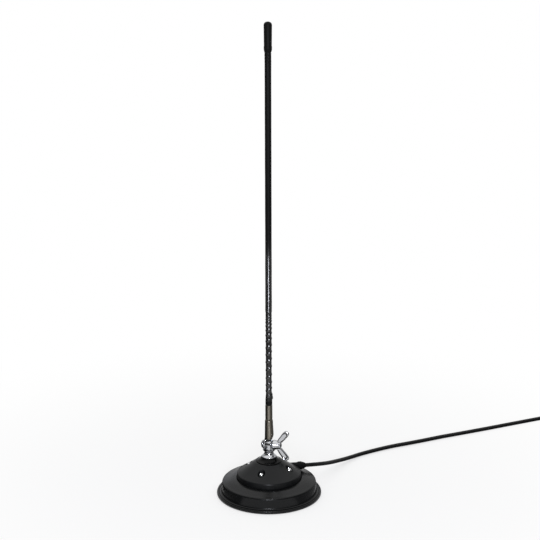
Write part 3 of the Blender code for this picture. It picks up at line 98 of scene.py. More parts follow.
# Name, place, aimed point, width, height, power and colour of each lamp, in metres and watts
LAMPS = [("key_softbox", (0.53, -1.97, 0.60), (0, 0, 0.08), 0.32, 0.32, 21, "#f2f5ff"),
         ("left_window", (-1.0, 1.9, 0.60), (0, 0, 0.02), 0.9, 0.6, 0.5, "#e6edff")]

# Name, first and last bearing, grey level and nearest radius in mm of each felt card
CARDS = [("black_felt", 122, 204, 0.02, 70), ("charcoal_felt", 204, 238, 0.12, 70),
         ("grey_felt", -28, 84, 0.25, 70), ("front_felt", 238, 332, 0.03, 430)]

# Heights in mm at which the spaced winding's ridge crosses the front of the sleeve
RIDGE_FRONTS = [119.5, 125.8, 133.6, 140.6, 149.8, 160.3, 169.9, 179.0, 187.4, 195.5, 202.6, 208.4, 213.6, 218.0,
                221.5, 224.2, 226.7, 228.7]
# Pitch and rise of the close winding, and the bearing and rise of the wire's lower end, in mm
WINDING_PITCH, WINDING_RISE = 0.55, 0.1
WIRE_END_BEARING, WIRE_END_RISE = math.radians(12), 1.05


def linear(code):
    """Linear RGB of an sRGB hex colour."""
    value = np.array([int(code[i:i + 2], 16) for i in (1, 3, 5)]) / 255
    return tuple(np.where(value <= 0.04045, value / 12.92, ((value + 0.055) / 1.055) ** 2.4))


# Sizes and colours that a user would change
def length(label, text, value):
    """A length property, in metres, with its default in millimetres."""
    return FloatProperty(name=label, description=text, default=value * MM, subtype="DISTANCE", unit="LENGTH")


def colour(label, code):
    """A colour property with its default as sRGB hex."""
    return FloatVectorProperty(name=label, description=f"Colour of the {label.lower()}", default=linear(code),
                               subtype="COLOR", min=0, max=1)


class ANTENNA_PG_base(bpy.types.PropertyGroup):
    lip_radius: length("Lip radius", "Outer radius of the rubber boot's lip", 63.0)
    wall_radius: length("Wall radius", "Radius of the boot's wall at its foot", 57.5)
    cover_radius: length("Cover radius", "Outer radius of the cover's rim", RIM_RADIUS)
    pocket_radius: length("Pocket radius", "Radius of the pockets round the screws", 4.3)
    rubber: colour("Rubber boot", "#0b0c0d")
    plastic: colour("Moulded cover", "#101112")
    screws: colour("Plated screws", "#f0f1f2")


class ANTENNA_PG_joint(bpy.types.PropertyGroup):
    ear_radius: length("Ear radius", "Radius of the joint's two ears", 6.0)
    wing_reach: length("Wing reach", "Distance from the hub's root to the tip of a wing", 23.0)
    wing_spread: FloatProperty(name="Wing spread", description="Angle between a wing and the tilt axis",
                               default=math.radians(52), subtype="ANGLE", unit="ROTATION")
    chrome: colour("Chrome plating", "#bfc0c3")
    nickel: colour("Nickel plating", "#7d786e")


class ANTENNA_PG_whip(bpy.types.PropertyGroup):
    sleeve_radius: length("Sleeve radius", "Radius of the sleeve on the plain rod", 3.78)
    waist_radius: length("Waist radius", "Radius of the sleeve between the spaced turns", 3.50)
    ridge_height: length("Ridge height", "How far the wire lifts the sleeve", 0.50)
    cap_radius: length("Cap radius", "Radius of the tip cap", 4.68)
    sleeve: colour("Heat-shrink sleeve", "#121211")


class ANTENNA_PG_cable(bpy.types.PropertyGroup):
    radius: length("Cable radius", "Half the cable's diameter", 2.5)
    turns_points: IntProperty(name="Points per turn", description="Points on each turn of the coil", default=32)
    jacket: colour("Cable jacket", "#0c0c0d")
    tie: colour("Nylon tie", "#d9d4c6")


class ANTENNA_PG_stage(bpy.types.PropertyGroup):
    floor: colour("Floor", "#f6f6f6")
    lens: FloatProperty(name="Lens", description="Focal length of the camera in millimetres", default=107.29)


# Grids of points
def eased(corners, steps=6):
    """Profile through corners (radius, height, easing), in mm.

    Each corner becomes a parabola from its easing length before it to the same length after it.
    """
    table = np.array(corners, float)
    point, ease = table[:, :2], table[:, 2:3]

    def toward(other):
        gap = other - point
        return gap / np.maximum(np.linalg.norm(gap, axis=1, keepdims=True), 1e-9)

    first = (point + ease * toward(np.roll(point, 1, 0)))[:, None]
    last = (point + ease * toward(np.roll(point, -1, 0)))[:, None]
    t = np.linspace(0, 1, steps)[None, :, None]
    curve = ((1 - t) ** 2 * first + 2 * t * (1 - t) * point[:, None] + t ** 2 * last).reshape(-1, 2)
    keep = np.r_[True, np.linalg.norm(np.diff(curve, axis=0), axis=1) > 1e-5]
    return curve[keep]


def hooked(first, handle, last, count):
    """Points on the parabola from first to last that leaves and arrives along the lines to handle."""
    t = np.linspace(0, 1, count)[:, None]
    return (1 - t) ** 2 * np.array(first) + 2 * t * (1 - t) * np.array(handle) + t ** 2 * np.array(last)


def moved(points, place=None):
    """Millimetre points in metres, after a placement."""
    points = points * MM
    if place is None:
        return points
    matrix = np.array(place)
    return points @ matrix[:3, :3].T + matrix[:3, 3]


def around(steps):
    """Angles of a full turn, from 0."""
    return np.linspace(0, TAU, steps, endpoint=False)


def powered(value, power):
    """A power of the size of a value, with the value's sign."""
    return np.sign(value) * np.abs(value) ** power


def lathe(profile, steps=96, swell=None):
    """Turned surface: each (radius, height) of the profile goes round Z as radius*(cos, sin), height.

    swell(radius, height, angle) may return a changed radius and height for each point of the grid.
    """
    angle = around(steps)[None, :]
    radius = np.repeat(profile[:, :1], steps, 1)
    height = np.repeat(profile[:, 1:2], steps, 1)
    if swell is not None:
        radius, height = swell(radius, height, angle + 0 * radius)
    return np.stack([radius * np.cos(angle), radius * np.sin(angle), height], -1)


def stacked(sections, steps=64):
    """Cast form: each section (z, low x, high x, half width in y, power) is a closed curve at its height.

    With power 2 the curve is an ellipse, and higher powers square it: |x/a|^p + |y/b|^p = 1 about its middle.
    """
    z, low, high, half, power = (column[:, None] for column in np.array(sections, float).T)
    angle = around(steps)[None, :]
    x = (low + high) / 2 + (high - low) / 2 * powered(np.cos(angle), 2 / power)
    y = half * powered(np.sin(angle), 2 / power)
    return np.stack([x, y, z + 0 * angle], -1)


def half_round(levels, face, steps=64):
    """Round bar cut flat: at each (z, radius) the circle's part beyond x = face is pushed back to that plane."""
    z, radius = (column[:, None] for column in np.array(levels, float).T)
    angle = around(steps)[None, :]
    half = np.sqrt(radius ** 2 - face ** 2)
    x, y = radius * np.cos(angle), radius * np.sin(angle)
    return np.stack([np.minimum(x, face), np.where(x > face, np.clip(y, -half, half), y), z + 0 * angle], -1)


def closed_ends(points):
    """The same grid with its first and last rows drawn together to their middles."""
    first, last = (np.repeat(row.mean(1, keepdims=True), points.shape[1], 1) for row in (points[:1], points[-1:]))
    return np.concatenate([first, points, last])


def turned_part(profile, steps=96, place=None, swell=None, hollow=False):
    """A turned surface ready for make_piece; in a hollow one the profile's end joins its start."""
    return moved(lathe(profile, steps, swell), place), hollow, True


def skin_part(points):
    """A closed skin through cross sections, ready for make_piece."""
    return moved(closed_ends(points)), False, True


def even_points(route, step):
    """Points a step apart on the smooth curve through a route.

    Each stretch is a cubic whose slopes at its ends are half the gap between the neighbours.
    """
    p = np.array(route, float)
    padded = np.vstack([2 * p[0] - p[1], p, 2 * p[-1] - p[-2]])
    a, b, c, d = (padded[i:len(p) - 1 + i, None] for i in range(4))
    t = np.linspace(0, 1, 24, endpoint=False)[None, :, None]
    fine = ((2 * b) + (c - a) * t + (2 * a - 5 * b + 4 * c - d) * t ** 2 + (3 * b - a - 3 * c + d) * t ** 3) / 2
    fine = np.vstack([fine.reshape(-1, 3), p[-1:]])
    run = np.r_[0, np.cumsum(np.linalg.norm(np.diff(fine, axis=0), axis=1))]
    places = np.linspace(0, run[-1], max(int(run[-1] / step), 2))
    return np.stack([np.interp(places, run, fine[:, i]) for i in range(3)], 1)


def make_piece(name, grids, material, body=None, replaced=(), sharp=40.0, weighted=True):
    """Join grids (points, rows join, columns join) into one mesh whose seams and poles are merged.

    A piece without a body belongs to the stage.
    """
    points, faces, start = [], [], 0
    for grid, join_rows, join_columns in grids:
        rows, columns = grid.shape[:2]
        index = np.arange(rows * columns).reshape(rows, columns) + start
        index = np.vstack([index, index[:1]]) if join_rows else index
        index = np.hstack([index, index[:, :1]]) if join_columns else index
        corners = [index[:-1, :-1], index[1:, :-1], index[1:, 1:], index[:-1, 1:]]
        faces.append(np.stack(corners, -1).reshape(-1, 4))
        points.append(grid.reshape(-1, 3))
        start += rows * columns
    mesh = bpy.data.meshes.new(name)
    mesh.from_pydata(np.concatenate(points).tolist(), [], np.concatenate(faces).tolist())
    solid = bmesh.new()
    solid.from_mesh(mesh)
    bmesh.ops.remove_doubles(solid, verts=solid.verts, dist=0.000002)
    bmesh.ops.recalc_face_normals(solid, faces=solid.faces)
    solid.to_mesh(mesh)
    solid.free()
    mesh.polygons.foreach_set("use_smooth", np.ones(len(mesh.polygons), bool))
    mesh.set_sharp_from_angle(angle=math.radians(sharp))
    piece = bpy.data.objects.new(name, mesh)
    bpy.context.scene.collection.objects.link(piece)
    mesh.materials.append(material)
    if weighted:
        normals = piece.modifiers.new("weighted", "WEIGHTED_NORMAL")
        normals.keep_sharp = True
    if body:
        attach(piece, body)
    if replaced:
        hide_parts(*replaced)
    return piece


# Materials
def add_node(tree, kind, settings=None, inputs=None):
    """Add a node, whose kind goes without its "ShaderNode", set its properties and fill its inputs."""
    item = tree.nodes.new("ShaderNode" + kind)
    for name, value in (settings or {}).items():
        setattr(item, name, value)
    return fill(tree, item, inputs or {})


def fill(tree, item, inputs):
    """Fill a node's inputs with values or with links (node, output)."""
    for name, value in inputs.items():
        if isinstance(value, tuple) and isinstance(value[0], bpy.types.Node):
            tree.links.new(value[0].outputs[value[1]], item.inputs[name])
        else:
            item.inputs[name].default_value = value
    return item


def ramp(tree, source, start, end, low=0.0, high=1.0):
    """A smooth step along a link (node, output): low up to start, high from end."""
    return add_node(tree, "MapRange", {"interpolation_type": "SMOOTHSTEP"}, {
        "Value": source, "From Min": start, "From Max": end, "To Min": low, "To Max": high})


def combined(tree, operation, one, other):
    """One sum on two links, read as (node, output)."""
    return add_node(tree, "Math", {"operation": operation}, {0: one, 1: other})


def object_z(tree):
    """Link to the height in the piece's own coordinates, in metres."""
    place = add_node(tree, "TexCoord")
    return add_node(tree, "SeparateXYZ", None, {"Vector": (place, "Object")}), "Z"


# Surface of each material: how it was made and what that gives the eye. The numbers are roughness, grain in mm,
# spread of the tone and of the roughness, strength of the bump and its depth in mm, then the other settings.
FINISHES = {
    # Moulded rubber: black with a faint bloom, a soft sheen and a fine pebble from the mould
    "moulded_neoprene_rubber": (0.26, 0.9, 0.18, 0.03, 0.12, 0.02, dict(Specular_IOR_Level=0.21)),
    # Rubber from a matt mould: dull black that hardly shines even at a flat angle
    "matt_moulded_nitrile_rubber": (0.55, 0.7, 0.15, 0.05, 0.2, 0.02, dict(Specular_IOR_Level=0.1)),
    # Dipped vinyl: dull black with a faint orange peel
    "dipped_vinyl_cap": (0.46, 0.8, 0.14, 0.05, 0.06, 0.01, dict(Specular_IOR_Level=0.1)),
    # Moulded against a spark-eroded tool: satin black with an even fine texture
    "spark_textured_abs": (0.36, 0.45, 0.08, 0.04, 0.2, 0.015, dict(Specular_IOR_Level=0.22)),
    # Turned and polished: deep black with clear reflections and faint turning marks
    "polished_black_acetal": (0.13, 0.5, 0.05, 0.03, 0.08, 0.004, dict(
        stretch=(0.05, 0.05, 1), Specular_IOR_Level=0.12)),
    # Chrome on a casting: mirror-like, with the casting's slow waviness left in it
    "chrome_plated_zinc": (0.09, 2.4, 0.03, 0.03, 0.15, 0.03, dict(Metallic=1.0)),
    # Bright plate on screws: nearly white, with a soft gloss
    "bright_zinc_plated_steel": (0.16, 0.9, 0.02, 0.03, 0.1, 0.01, dict(Metallic=1.0)),
    # Plate on turned brass: warm grey, with fine lathe rings that draw each highlight into an upright streak
    "nickel_plated_brass": (0.3, 0.45, 0.1, 0.04, 0.15, 0.01, dict(
        stretch=(0.04, 0.04, 1), Metallic=1.0, Anisotropic=0.85, Anisotropic_Rotation=0.25)),
    # Heat-shrunk tube: dull black, drawn along the whip; its coat shows where the tube is stretched
    "heat_shrunk_polyolefin": (0.42, 0.7, 0.12, 0.04, 0.04, 0.01, dict(
        stretch=(1, 1, 0.35), Specular_IOR_Level=0.12, Coat_Roughness=0.24, Coat_IOR=1.8)),
    # Extruded jacket: black, slightly glossy, with a faint drawn texture
    "extruded_pvc_jacket": (0.38, 0.6, 0.1, 0.06, 0.15, 0.015, dict(Specular_IOR_Level=0.25)),
    # Moulded strap: ivory with a dull gloss
    "moulded_nylon_tie": (0.38, 0.8, 0.05, 0.08, 0.12, 0.02, {}),
    # Plate on the plug: pale warm grey, smooth enough for soft reflections
    "nickel_plated_plug": (0.22, 0.4, 0.08, 0.04, 0.15, 0.006, dict(Metallic=1.0)),
    # Moulded disc: cream with a dull gloss
    "moulded_phenolic_disc": (0.4, 0.5, 0.05, 0.08, 0.1, 0.02, {}),
    # Silver plate on the pin: pale and bright
    "silver_plated_brass": (0.2, 0.4, 0.06, 0.08, 0.1, 0.02, dict(Metallic=1.0)),
    # Zinc on pressed steel: pale blue-grey with a soft spangle
    "zinc_plated_steel": (0.32, 0.8, 0.1, 0.08, 0.1, 0.01, dict(Metallic=1.0)),
    # Moulded bush: ivory with a dull gloss
    "moulded_nylon": (0.42, 0.8, 0.04, 0.08, 0.1, 0.02, {}),
    # Pressed and fired powder: dark grey, dull and grainy
    "sintered_ferrite": (0.7, 0.3, 0.2, 0.1, 0.5, 0.04, {}),
    # Turned brass: yellow with a gloss
    "turned_brass": (0.24, 0.4, 0.1, 0.08, 0.1, 0.02, dict(Metallic=1.0)),
    # Lacquered wire: brown and glossy
    "enamelled_copper_wire": (0.28, 0.5, 0.12, 0.08, 0.1, 0.02, dict(Metallic=1.0)),
    # Drawn rod: straw-coloured, with long fibres along it
    "pultruded_glass_fibre": (0.4, 0.5, 0.12, 0.08, 0.3, 0.02, dict(stretch=(1, 1, 0.04))),
    # Felt card: flat and without any shine
    "felt": (0.95, 2.0, 0.1, 0.03, 0.0, 0.02, dict(Specular_IOR_Level=0.0)),
}

# Material and colour of the pieces that the frame carries over, by node
INNER = {
    **dict.fromkeys(("magnet_cup", "pole_disc", "stud_nut", "lock_washer"), ("zinc_plated_steel", "#b3b6bb")),
    **dict.fromkeys(("solder_tag", "earth_lead"), ("turned_brass", "#c9a25c")),
    **dict.fromkeys(("centre_lead", "loading_coil"), ("enamelled_copper_wire", "#8a4a25")),
    "ring_magnet": ("sintered_ferrite", "#333336"),
    "insulator_bush": ("moulded_nylon", "#ddd6c4"),
    "whip_rod": ("pultruded_glass_fibre", "#c9c3a4"),
}


def finish(name, base, kind=None):
    """The material of that name, made once from its row of FINISHES, or from that of its kind."""
    *numbers, others = FINISHES[kind or name]
    return bpy.data.materials.get(name) or textured(name, base, *numbers, **others)


def textured(name, base, roughness, grain, tone, spread, bump, depth, stretch=(1, 1, 1), **fixed):
    """A surface whose tone, roughness and height follow one noise of a grain size in mm, on Object coordinates.

    stretch squeezes the pattern along an axis, for turned or drawn surfaces. fixed holds constant sockets.
    """
    material = bpy.data.materials.new(name)
    material.use_nodes = True
    tree = material.node_tree
    shader = tree.nodes["Principled BSDF"]
    for socket, value in fixed.items():
        shader.inputs[socket.replace("_", " ")].default_value = value
    place = add_node(tree, "TexCoord")
    scaled = add_node(tree, "Mapping", None, {"Vector": (place, "Object"), "Scale": stretch})
    noise = add_node(tree, "TexNoise", None, {
        "Vector": (scaled, "Vector"), "Scale": 1 / (grain * MM), "Detail": 3.0, "Roughness": 0.55})
    patches = add_node(tree, "TexNoise", None, {
        "Vector": (scaled, "Vector"), "Scale": 1 / (grain * 14 * MM), "Detail": 2.0})
    dark = tuple(max(c * (1 - tone), 0) for c in base) + (1,)
    pale = tuple(min(c * (1 + tone), 1) for c in base) + (1,)
    mixed = add_node(tree, "Mix", {"data_type": "RGBA"}, {
        0: (patches, "Fac"), 6: dark, 7: pale})
    rough = add_node(tree, "MapRange", None, {
        "Value": (patches, "Fac"), "From Min": 0.3, "From Max": 0.7,
        "To Min": max(roughness - spread, 0.02), "To Max": roughness + spread})
    raised = add_node(tree, "Bump", None, {
        "Height": (noise, "Fac"), "Strength": bump, "Distance": depth * MM})
    fill(tree, shader, {"Base Color": (mixed, 2), "Roughness": (rough, "Result"), "Normal": (raised, "Normal")})
    return material


def polished_ear(base, polish):
    """Nickel plate that turns to the colour and gloss of chrome from about Z 70 mm down, at the ferrule's ear."""
    material = finish("nickel_plated_brass", base)
    tree = material.node_tree
    shader = tree.nodes["Principled BSDF"]
    low = ramp(tree, object_z(tree), 0.0695, 0.0715, 1.0, 0.0)
    plate, rough = (shader.inputs[name].links[0].from_node for name in ("Base Color", "Roughness"))
    tone = add_node(tree, "Mix", {"data_type": "RGBA"}, {0: (low, "Result"), 6: (plate, 2), 7: (*polish, 1)})
    gloss = add_node(tree, "Mix", {"data_type": "FLOAT"}, {0: (low, "Result"), 2: (rough, "Result"), 3: 0.1})
    fill(tree, shader, {"Base Color": (tone, 2), "Roughness": (gloss, 0)})
    return material


# Pieces of the base
SEAT_RADIUS, SEAT_Z, RIM_TOP = 16.3, 42.3, 27.1
SCREW_CIRCLE, SCREW_BEARING = 25.8, math.radians(-5.5)


def slope_height(radius):
    """Height of the cover's hollow slope at a radius: read off the parabola from the seat to the rim."""
    run, fall = RIM_RADIUS - SEAT_RADIUS, SEAT_Z - RIM_TOP
    curve = hooked((SEAT_RADIUS, SEAT_Z), (SEAT_RADIUS + 0.55 * run, SEAT_Z - 0.57 * fall), (RIM_RADIUS, RIM_TOP), 400)
    return np.interp(radius, curve[:, 0], curve[:, 1])


class ANTENNA_OT_boot(bpy.types.Operator):
    """Rubber boot: a stretched cup with a beaded lip, a leaning wall and a roof that climbs to the cover"""
    bl_idname = "antenna.boot"
    bl_label = "Rubber boot"

    def execute(self, context):
        size = context.scene.antenna_base
        lip, wall = size.lip_radius / MM, size.wall_radius / MM
        shoulder = wall - 0.9
        mouth = size.cover_radius / MM + 0.25
        outer = eased([
            (mouth, 20.6, 0.4), (mouth + 0.9, 21.2, 0.5), (mouth + 6, 20.3, 2.0), (shoulder - 3.6, 17.75, 1.5),
            (shoulder - 0.1, 17.1, 1.9), (wall - 0.2, 7.0, 3.0), (wall + 0.2, 4.2, 1.3), (wall + 2.4, 3.5, 0.8),
            (lip - 2.4, 4.3, 0.8), (lip - 0.1, 4.1, 1.3), (lip, 1.2, 0.8), (lip - 0.9, 0.0, 0.5), (0, 0, 0)], 7)
        inner = np.array([(0, 1.0), (wall - 2.2, 1.0), (wall - 2.2, 15.0), (shoulder - 4, 15.6), (mouth, 19.3)])

        def swell(radius, height, angle):
            """Uneven stretch: slow waves round the wall and lip, fading towards the mouth and the floor's middle."""
            share = np.clip((radius - 44) / 12, 0, 1)
            wave = 0.10 * np.sin(2 * angle + 0.6) + 0.07 * np.sin(5 * angle + 2.1) + 0.04 * np.sin(11 * angle)
            lift = 0.12 * np.sin(3 * angle + 1.0) + 0.06 * np.sin(7 * angle + 0.4)
            return radius + share * wave, height + share * lift * np.clip(height / 10, 0, 1)

        make_piece("boot", [turned_part(np.vstack([outer, inner]), 192, swell=swell, hollow=True)],
                   finish("moulded_neoprene_rubber", size.rubber), "base", ["rubber_boot"])
        return {"FINISHED"}


class ANTENNA_OT_cover(bpy.types.Operator):
    """Moulded cover: hollow slope with round screw pockets, a raised land at its edge and an upright rim"""
    bl_idname = "antenna.cover"
    bl_label = "Cover"

    def execute(self, context):
        size = context.scene.antenna_base
        rim, pocket = size.cover_radius / MM, size.pocket_radius / MM
        inner, outer, side = 17.2, rim - 2.3, 24
        floor = float(slope_height(SCREW_CIRCLE + pocket))
        # Boundary of one quarter in polar coordinates, walked in step with the pocket's circle
        walk = np.linspace(-1, 1, side, endpoint=False)
        turn, quarter = np.ones(side), math.pi / 4
        bearing = np.concatenate([walk * quarter, turn * quarter, -walk * quarter, -turn * quarter])
        reach = np.concatenate([turn * outer, (outer + inner) / 2 - walk * (outer - inner) / 2, turn * inner,
                                (outer + inner) / 2 + walk * (outer - inner) / 2])
        edge = np.stack([reach * np.cos(bearing), reach * np.sin(bearing)], -1)
        turn = np.linspace(-math.pi / 4, TAU - math.pi / 4, 4 * side, endpoint=False)
        ring = np.stack([np.cos(turn), np.sin(turn)], -1)
        middle = np.array([SCREW_CIRCLE, 0.0])
        share = np.linspace(0, 1, 15)[:, None, None] ** 1.3
        field = (1 - share) * (middle + (pocket + 0.9) * ring) + share * edge
        field = np.concatenate([field, slope_height(np.hypot(field[..., 0], field[..., 1]))[..., None]], -1)
        # Rings of the pocket: first those at a height above its floor, then those at a depth below the slope
        rings = [np.column_stack([middle + radius * ring, np.full(len(ring), floor + rise)])
                 for radius, rise in ((0.0, 0), (2.0, 0), (pocket - 0.5, 0), (pocket - 0.15, 0.15), (pocket, 0.6))]
        for radius, drop in ((pocket, 0.75), (pocket + 0.06, 0.35), (pocket + 0.25, 0.12), (pocket + 0.55, 0.02)):
            spot = middle + radius * ring
            height = slope_height(np.hypot(spot[:, 0], spot[:, 1])) - drop
            rings.append(np.column_stack([spot, np.maximum(height, floor)]))
        quarter_grid = np.concatenate([np.stack(rings), field])
        grids = [(moved(quarter_grid, Matrix.Rotation(SCREW_BEARING + k * TAU / 4, 4, "Z")), False, True)
                 for k in range(4)]
        land = float(slope_height(outer))
        top = eased([(8.2, 17.6, 0), (8.2, SEAT_Z, 0.3), (SEAT_RADIUS - 0.2, SEAT_Z, 0.7),
                     (inner, float(slope_height(inner)), 0)], 5)
        edge_profile = eased([(outer, land, 0), (outer + 0.12, land + 0.16, 0.08),
                              (rim - 0.55, float(slope_height(rim - 0.55)) + 0.24, 0.35), (rim, RIM_TOP - 0.5, 0.5),
                              (rim - 0.15, 18.0, 0.2), (rim - 0.4, 17.6, 0), (8.2, 17.6, 0)], 6)
        turned = Matrix.Rotation(SCREW_BEARING - math.pi / 4, 4, "Z")
        grids += [turned_part(form, 4 * side, turned) for form in (top, edge_profile)]
        make_piece("cone_cover", grids, finish("spark_textured_abs", size.plastic), "base", ["cover"],
                   sharp=38)
        return {"FINISHED"}


class ANTENNA_OT_screws(bpy.types.Operator):
    """Domed cover screws with a cross recess, one in each pocket"""
    bl_idname = "antenna.screws"
    bl_label = "Cover screws"

    def execute(self, context):
        size = context.scene.antenna_base
        seat = float(slope_height(SCREW_CIRCLE + size.pocket_radius / MM)) + 0.3
        radius, height = 2.8, 2.9
        share = np.r_[np.linspace(0, 0.8, 26), np.linspace(0.83, 1.0, 8)]
        dome = np.column_stack([share * radius, seat + 0.25 + (height - 0.25) * (1 - share ** 2.6) ** 0.6])
        profile = np.vstack([dome, [(radius, seat), (1.45, seat), (1.45, 12.6), (0, 12.6)]])

        def recess(radius_grid, height_grid, angle):
            """Cross recess: the depth falls off smoothly beyond each arm's half width and reach."""
            x, y = np.abs(radius_grid * np.cos(angle)), np.abs(radius_grid * np.sin(angle))
            low, high = np.minimum(x, y), np.maximum(x, y)
            arm = np.clip((0.42 - low) / 0.16, 0, 1) * np.clip((1.75 - high) / 0.35, 0, 1)
            head = height_grid > seat + 0.2
            return radius_grid, height_grid - head * arm * (0.95 - 0.2 * high)

        grid = lathe(profile, 72, recess)
        for k in range(4):
            place = Matrix.Rotation(SCREW_BEARING + k * TAU / 4, 4, "Z") @ Matrix.Translation(
                (SCREW_CIRCLE * MM, 0, 0)) @ Matrix.Rotation(0.4 + 1.1 * k, 4, "Z")
            make_piece(f"dome_screw_{k + 1}", [(moved(grid, place), False, True)],
                       finish("bright_zinc_plated_steel", size.screws), "base", [f"cover_screw_{k + 1}"])
        return {"FINISHED"}


class ANTENNA_OT_collar(bpy.types.Operator):
    """Insulating collar: a trumpet-shaped skirt between the cover and the metal mount"""
    bl_idname = "antenna.collar"
    bl_label = "Insulating collar"

    def execute(self, context):
        flare = hooked((9.5, 47.2), (11.0, 44.4), (15.0, 43.5), 16)
        profile = np.vstack([eased([(3.2, 39.9, 0), (3.2, 47.8, 0), (9.4, 47.8, 0.3)], 5), flare,
                             eased([(15.6, 43.36, 0.4), (15.75, 42.62, 0.1), (7.6, 42.6, 0), (7.6, 39.9, 0)], 5)])
        make_piece("skirt_collar", [turned_part(profile, 128, hollow=True)],
                   finish("polished_black_acetal", linear("#040404")), "base", ["insulator_collar"])
        return {"FINISHED"}


# Pieces of the tilt joint
def tooth_face(tip, root, teeth, direction):
    """Ring of radial teeth: the face's x follows a triangle wave round the ring, deeper at the outside."""
    angle = around(teeth * 4)[None, :]
    radius = np.array([2.75, 3.2, 4.2, 5.25])[:, None]
    wave = np.abs(((angle * teeth / TAU) % 1) - 0.5) * 2
    depth = 0.6 * radius / 5.25 * wave
    face = tip - direction * depth
    front = np.stack([face, radius * np.cos(angle), PIVOT_Z + radius * np.sin(angle)], -1)
    back = front[::-1].copy()
    back[..., 0] = root
    return np.concatenate([front, back])


def ear_sections(radius, low, high, power, turn):
    """Sections of an ear's round end, at angles above or below the tilt axis; its edges round off to the end."""
    edge = 0.9 * (1 - np.cos(turn)) ** 6
    return [(PIVOT_Z + radius * math.sin(a), low + e, high - e, max(radius * math.cos(a), 0.02), power)
            for a, e in zip(turn, edge)]


class ANTENNA_OT_knuckle(bpy.types.Operator):
    """Knuckle: flange, hollow-sided neck and the fixed ear, cast in one piece on the stud"""
    bl_idname = "antenna.knuckle"
    bl_label = "Knuckle"

    def execute(self, context):
        size = context.scene.antenna_joint
        ear = size.ear_radius / MM
        neck = hooked((5.45, 53.6), (5.7, 50.8), (8.8, 48.95), 16)
        profile = np.vstack([[(0, 56.9)], eased([(7.5, 56.9, 0.1), (7.5, 56.5, 0.15), (5.45, 54.2, 0.3)], 5), neck,
                             eased([(9.05, 48.8, 0.2), (9.05, 48.1, 0.3), (2.9, 48.1, 0), (2.9, 31.4, 0.3),
                                    (0, 31.4, 0)], 6)])
        low, high = -0.95, 3.4
        sections = [(56.2, low - 0.5, high + 0.5, 5.3, 3.0), (56.9, low - 0.1, high + 0.1, 5.4, 5.0),
                    (58.0, low, high, 5.6, 8.0), (60.5, low, high, 5.85, 9.0)]
        sections += ear_sections(ear, low, high, 9.0, math.pi / 2 * np.linspace(0, 1, 18))
        grids = [turned_part(profile), skin_part(stacked(sections, 72)),
                 (moved(tooth_face(-1.75, -0.9, 20, -1)), True, True)]
        make_piece("knuckle_casting", grids, finish("chrome_plated_zinc", size.chrome), "base",
                   ["knuckle_base"])
        return {"FINISHED"}


class ANTENNA_OT_ferrule(bpy.types.Operator):
    """Tilt ferrule: a round barrel whose left half runs down into the moving ear, rounded off on its right"""
    bl_idname = "antenna.ferrule"
    bl_label = "Tilt ferrule"

    def execute(self, context):
        size = context.scene.antenna_joint
        ear = size.ear_radius / MM
        low, high = -7.05, -2.85
        sections = ear_sections(ear, low, high, 2.6, -math.pi / 2 * np.linspace(1, 0, 16))
        sections += [(65.5, low, high, 5.8, 2.6), (67.4, low + 0.3, high, 5.5, 2.8), (68.8, low + 0.8, high, 5.2, 3.0)]
        core = half_round([(70.2, 5.35), (72.0, 5.1), (78.0, 4.7)], high, 96)
        barrel = stacked([
            (69.7, -1.6, 2.3, 3.0, 2.0), (69.85, -2.5, 3.1, 3.8, 2.0), (70.3, -3.3, 3.75, 4.4, 2.0),
            (71.3, -4.1, 4.4, 4.8, 2.0), (72.6, -4.65, 4.9, 5.0, 2.0), (74.4, -4.95, 5.4, 5.15, 2.0),
            (76.6, -4.97, 5.65, 5.25, 2.0), (81.6, -4.9, 5.42, 5.15, 2.0), (88.0, -4.82, 5.0, 4.9, 2.0),
            (93.4, -4.75, 4.78, 4.75, 2.0), (94.2, -4.68, 4.7, 4.68, 2.0), (94.7, -4.55, 4.57, 4.55, 2.0),
            (95.0, -4.3, 4.32, 4.3, 2.0), (95.15, -3.9, 3.9, 3.9, 2.0)], 96)
        grids = [skin_part(np.concatenate([stacked(sections, 96), core])), skin_part(barrel),
                 (moved(tooth_face(-2.05, -2.9, 20, 1)), True, True)]
        make_piece("ear_ferrule", grids, polished_ear(size.nickel, size.chrome), "whip", ["tilt_ferrule"])
        return {"FINISHED"}


class ANTENNA_OT_pivot(bpy.types.Operator):
    """Pivot screw along the tilt axis, with a low dome for a head"""
    bl_idname = "antenna.pivot"
    bl_label = "Pivot screw"

    def execute(self, context):
        share = np.linspace(0, 1, 16)
        dome = np.column_stack([4.9 * share, -9.55 + 1.75 * share ** 2.4])
        thread = np.linspace(6.0, 15.0, 145)
        wave = np.abs((thread % 0.75) / 0.75 - 0.5) * 2
        profile = np.vstack([dome, eased([(4.95, -7.5, 0.15), (4.8, -7.35, 0.1), (2.6, -7.35, 0), (2.6, -5.0, 0)], 4),
                             [(2.35, -5.0), (2.35, 5.9)], np.column_stack([2.1 + 0.22 * wave, thread]),
                             [(1.8, 15.5), (0, 15.5)]])
        make_piece("dome_pivot", [turned_part(profile, 64, ON_TILT_AXIS)],
                   finish("chrome_plated_zinc", context.scene.antenna_joint.chrome), "whip", ["pivot_screw"])
        return {"FINISHED"}


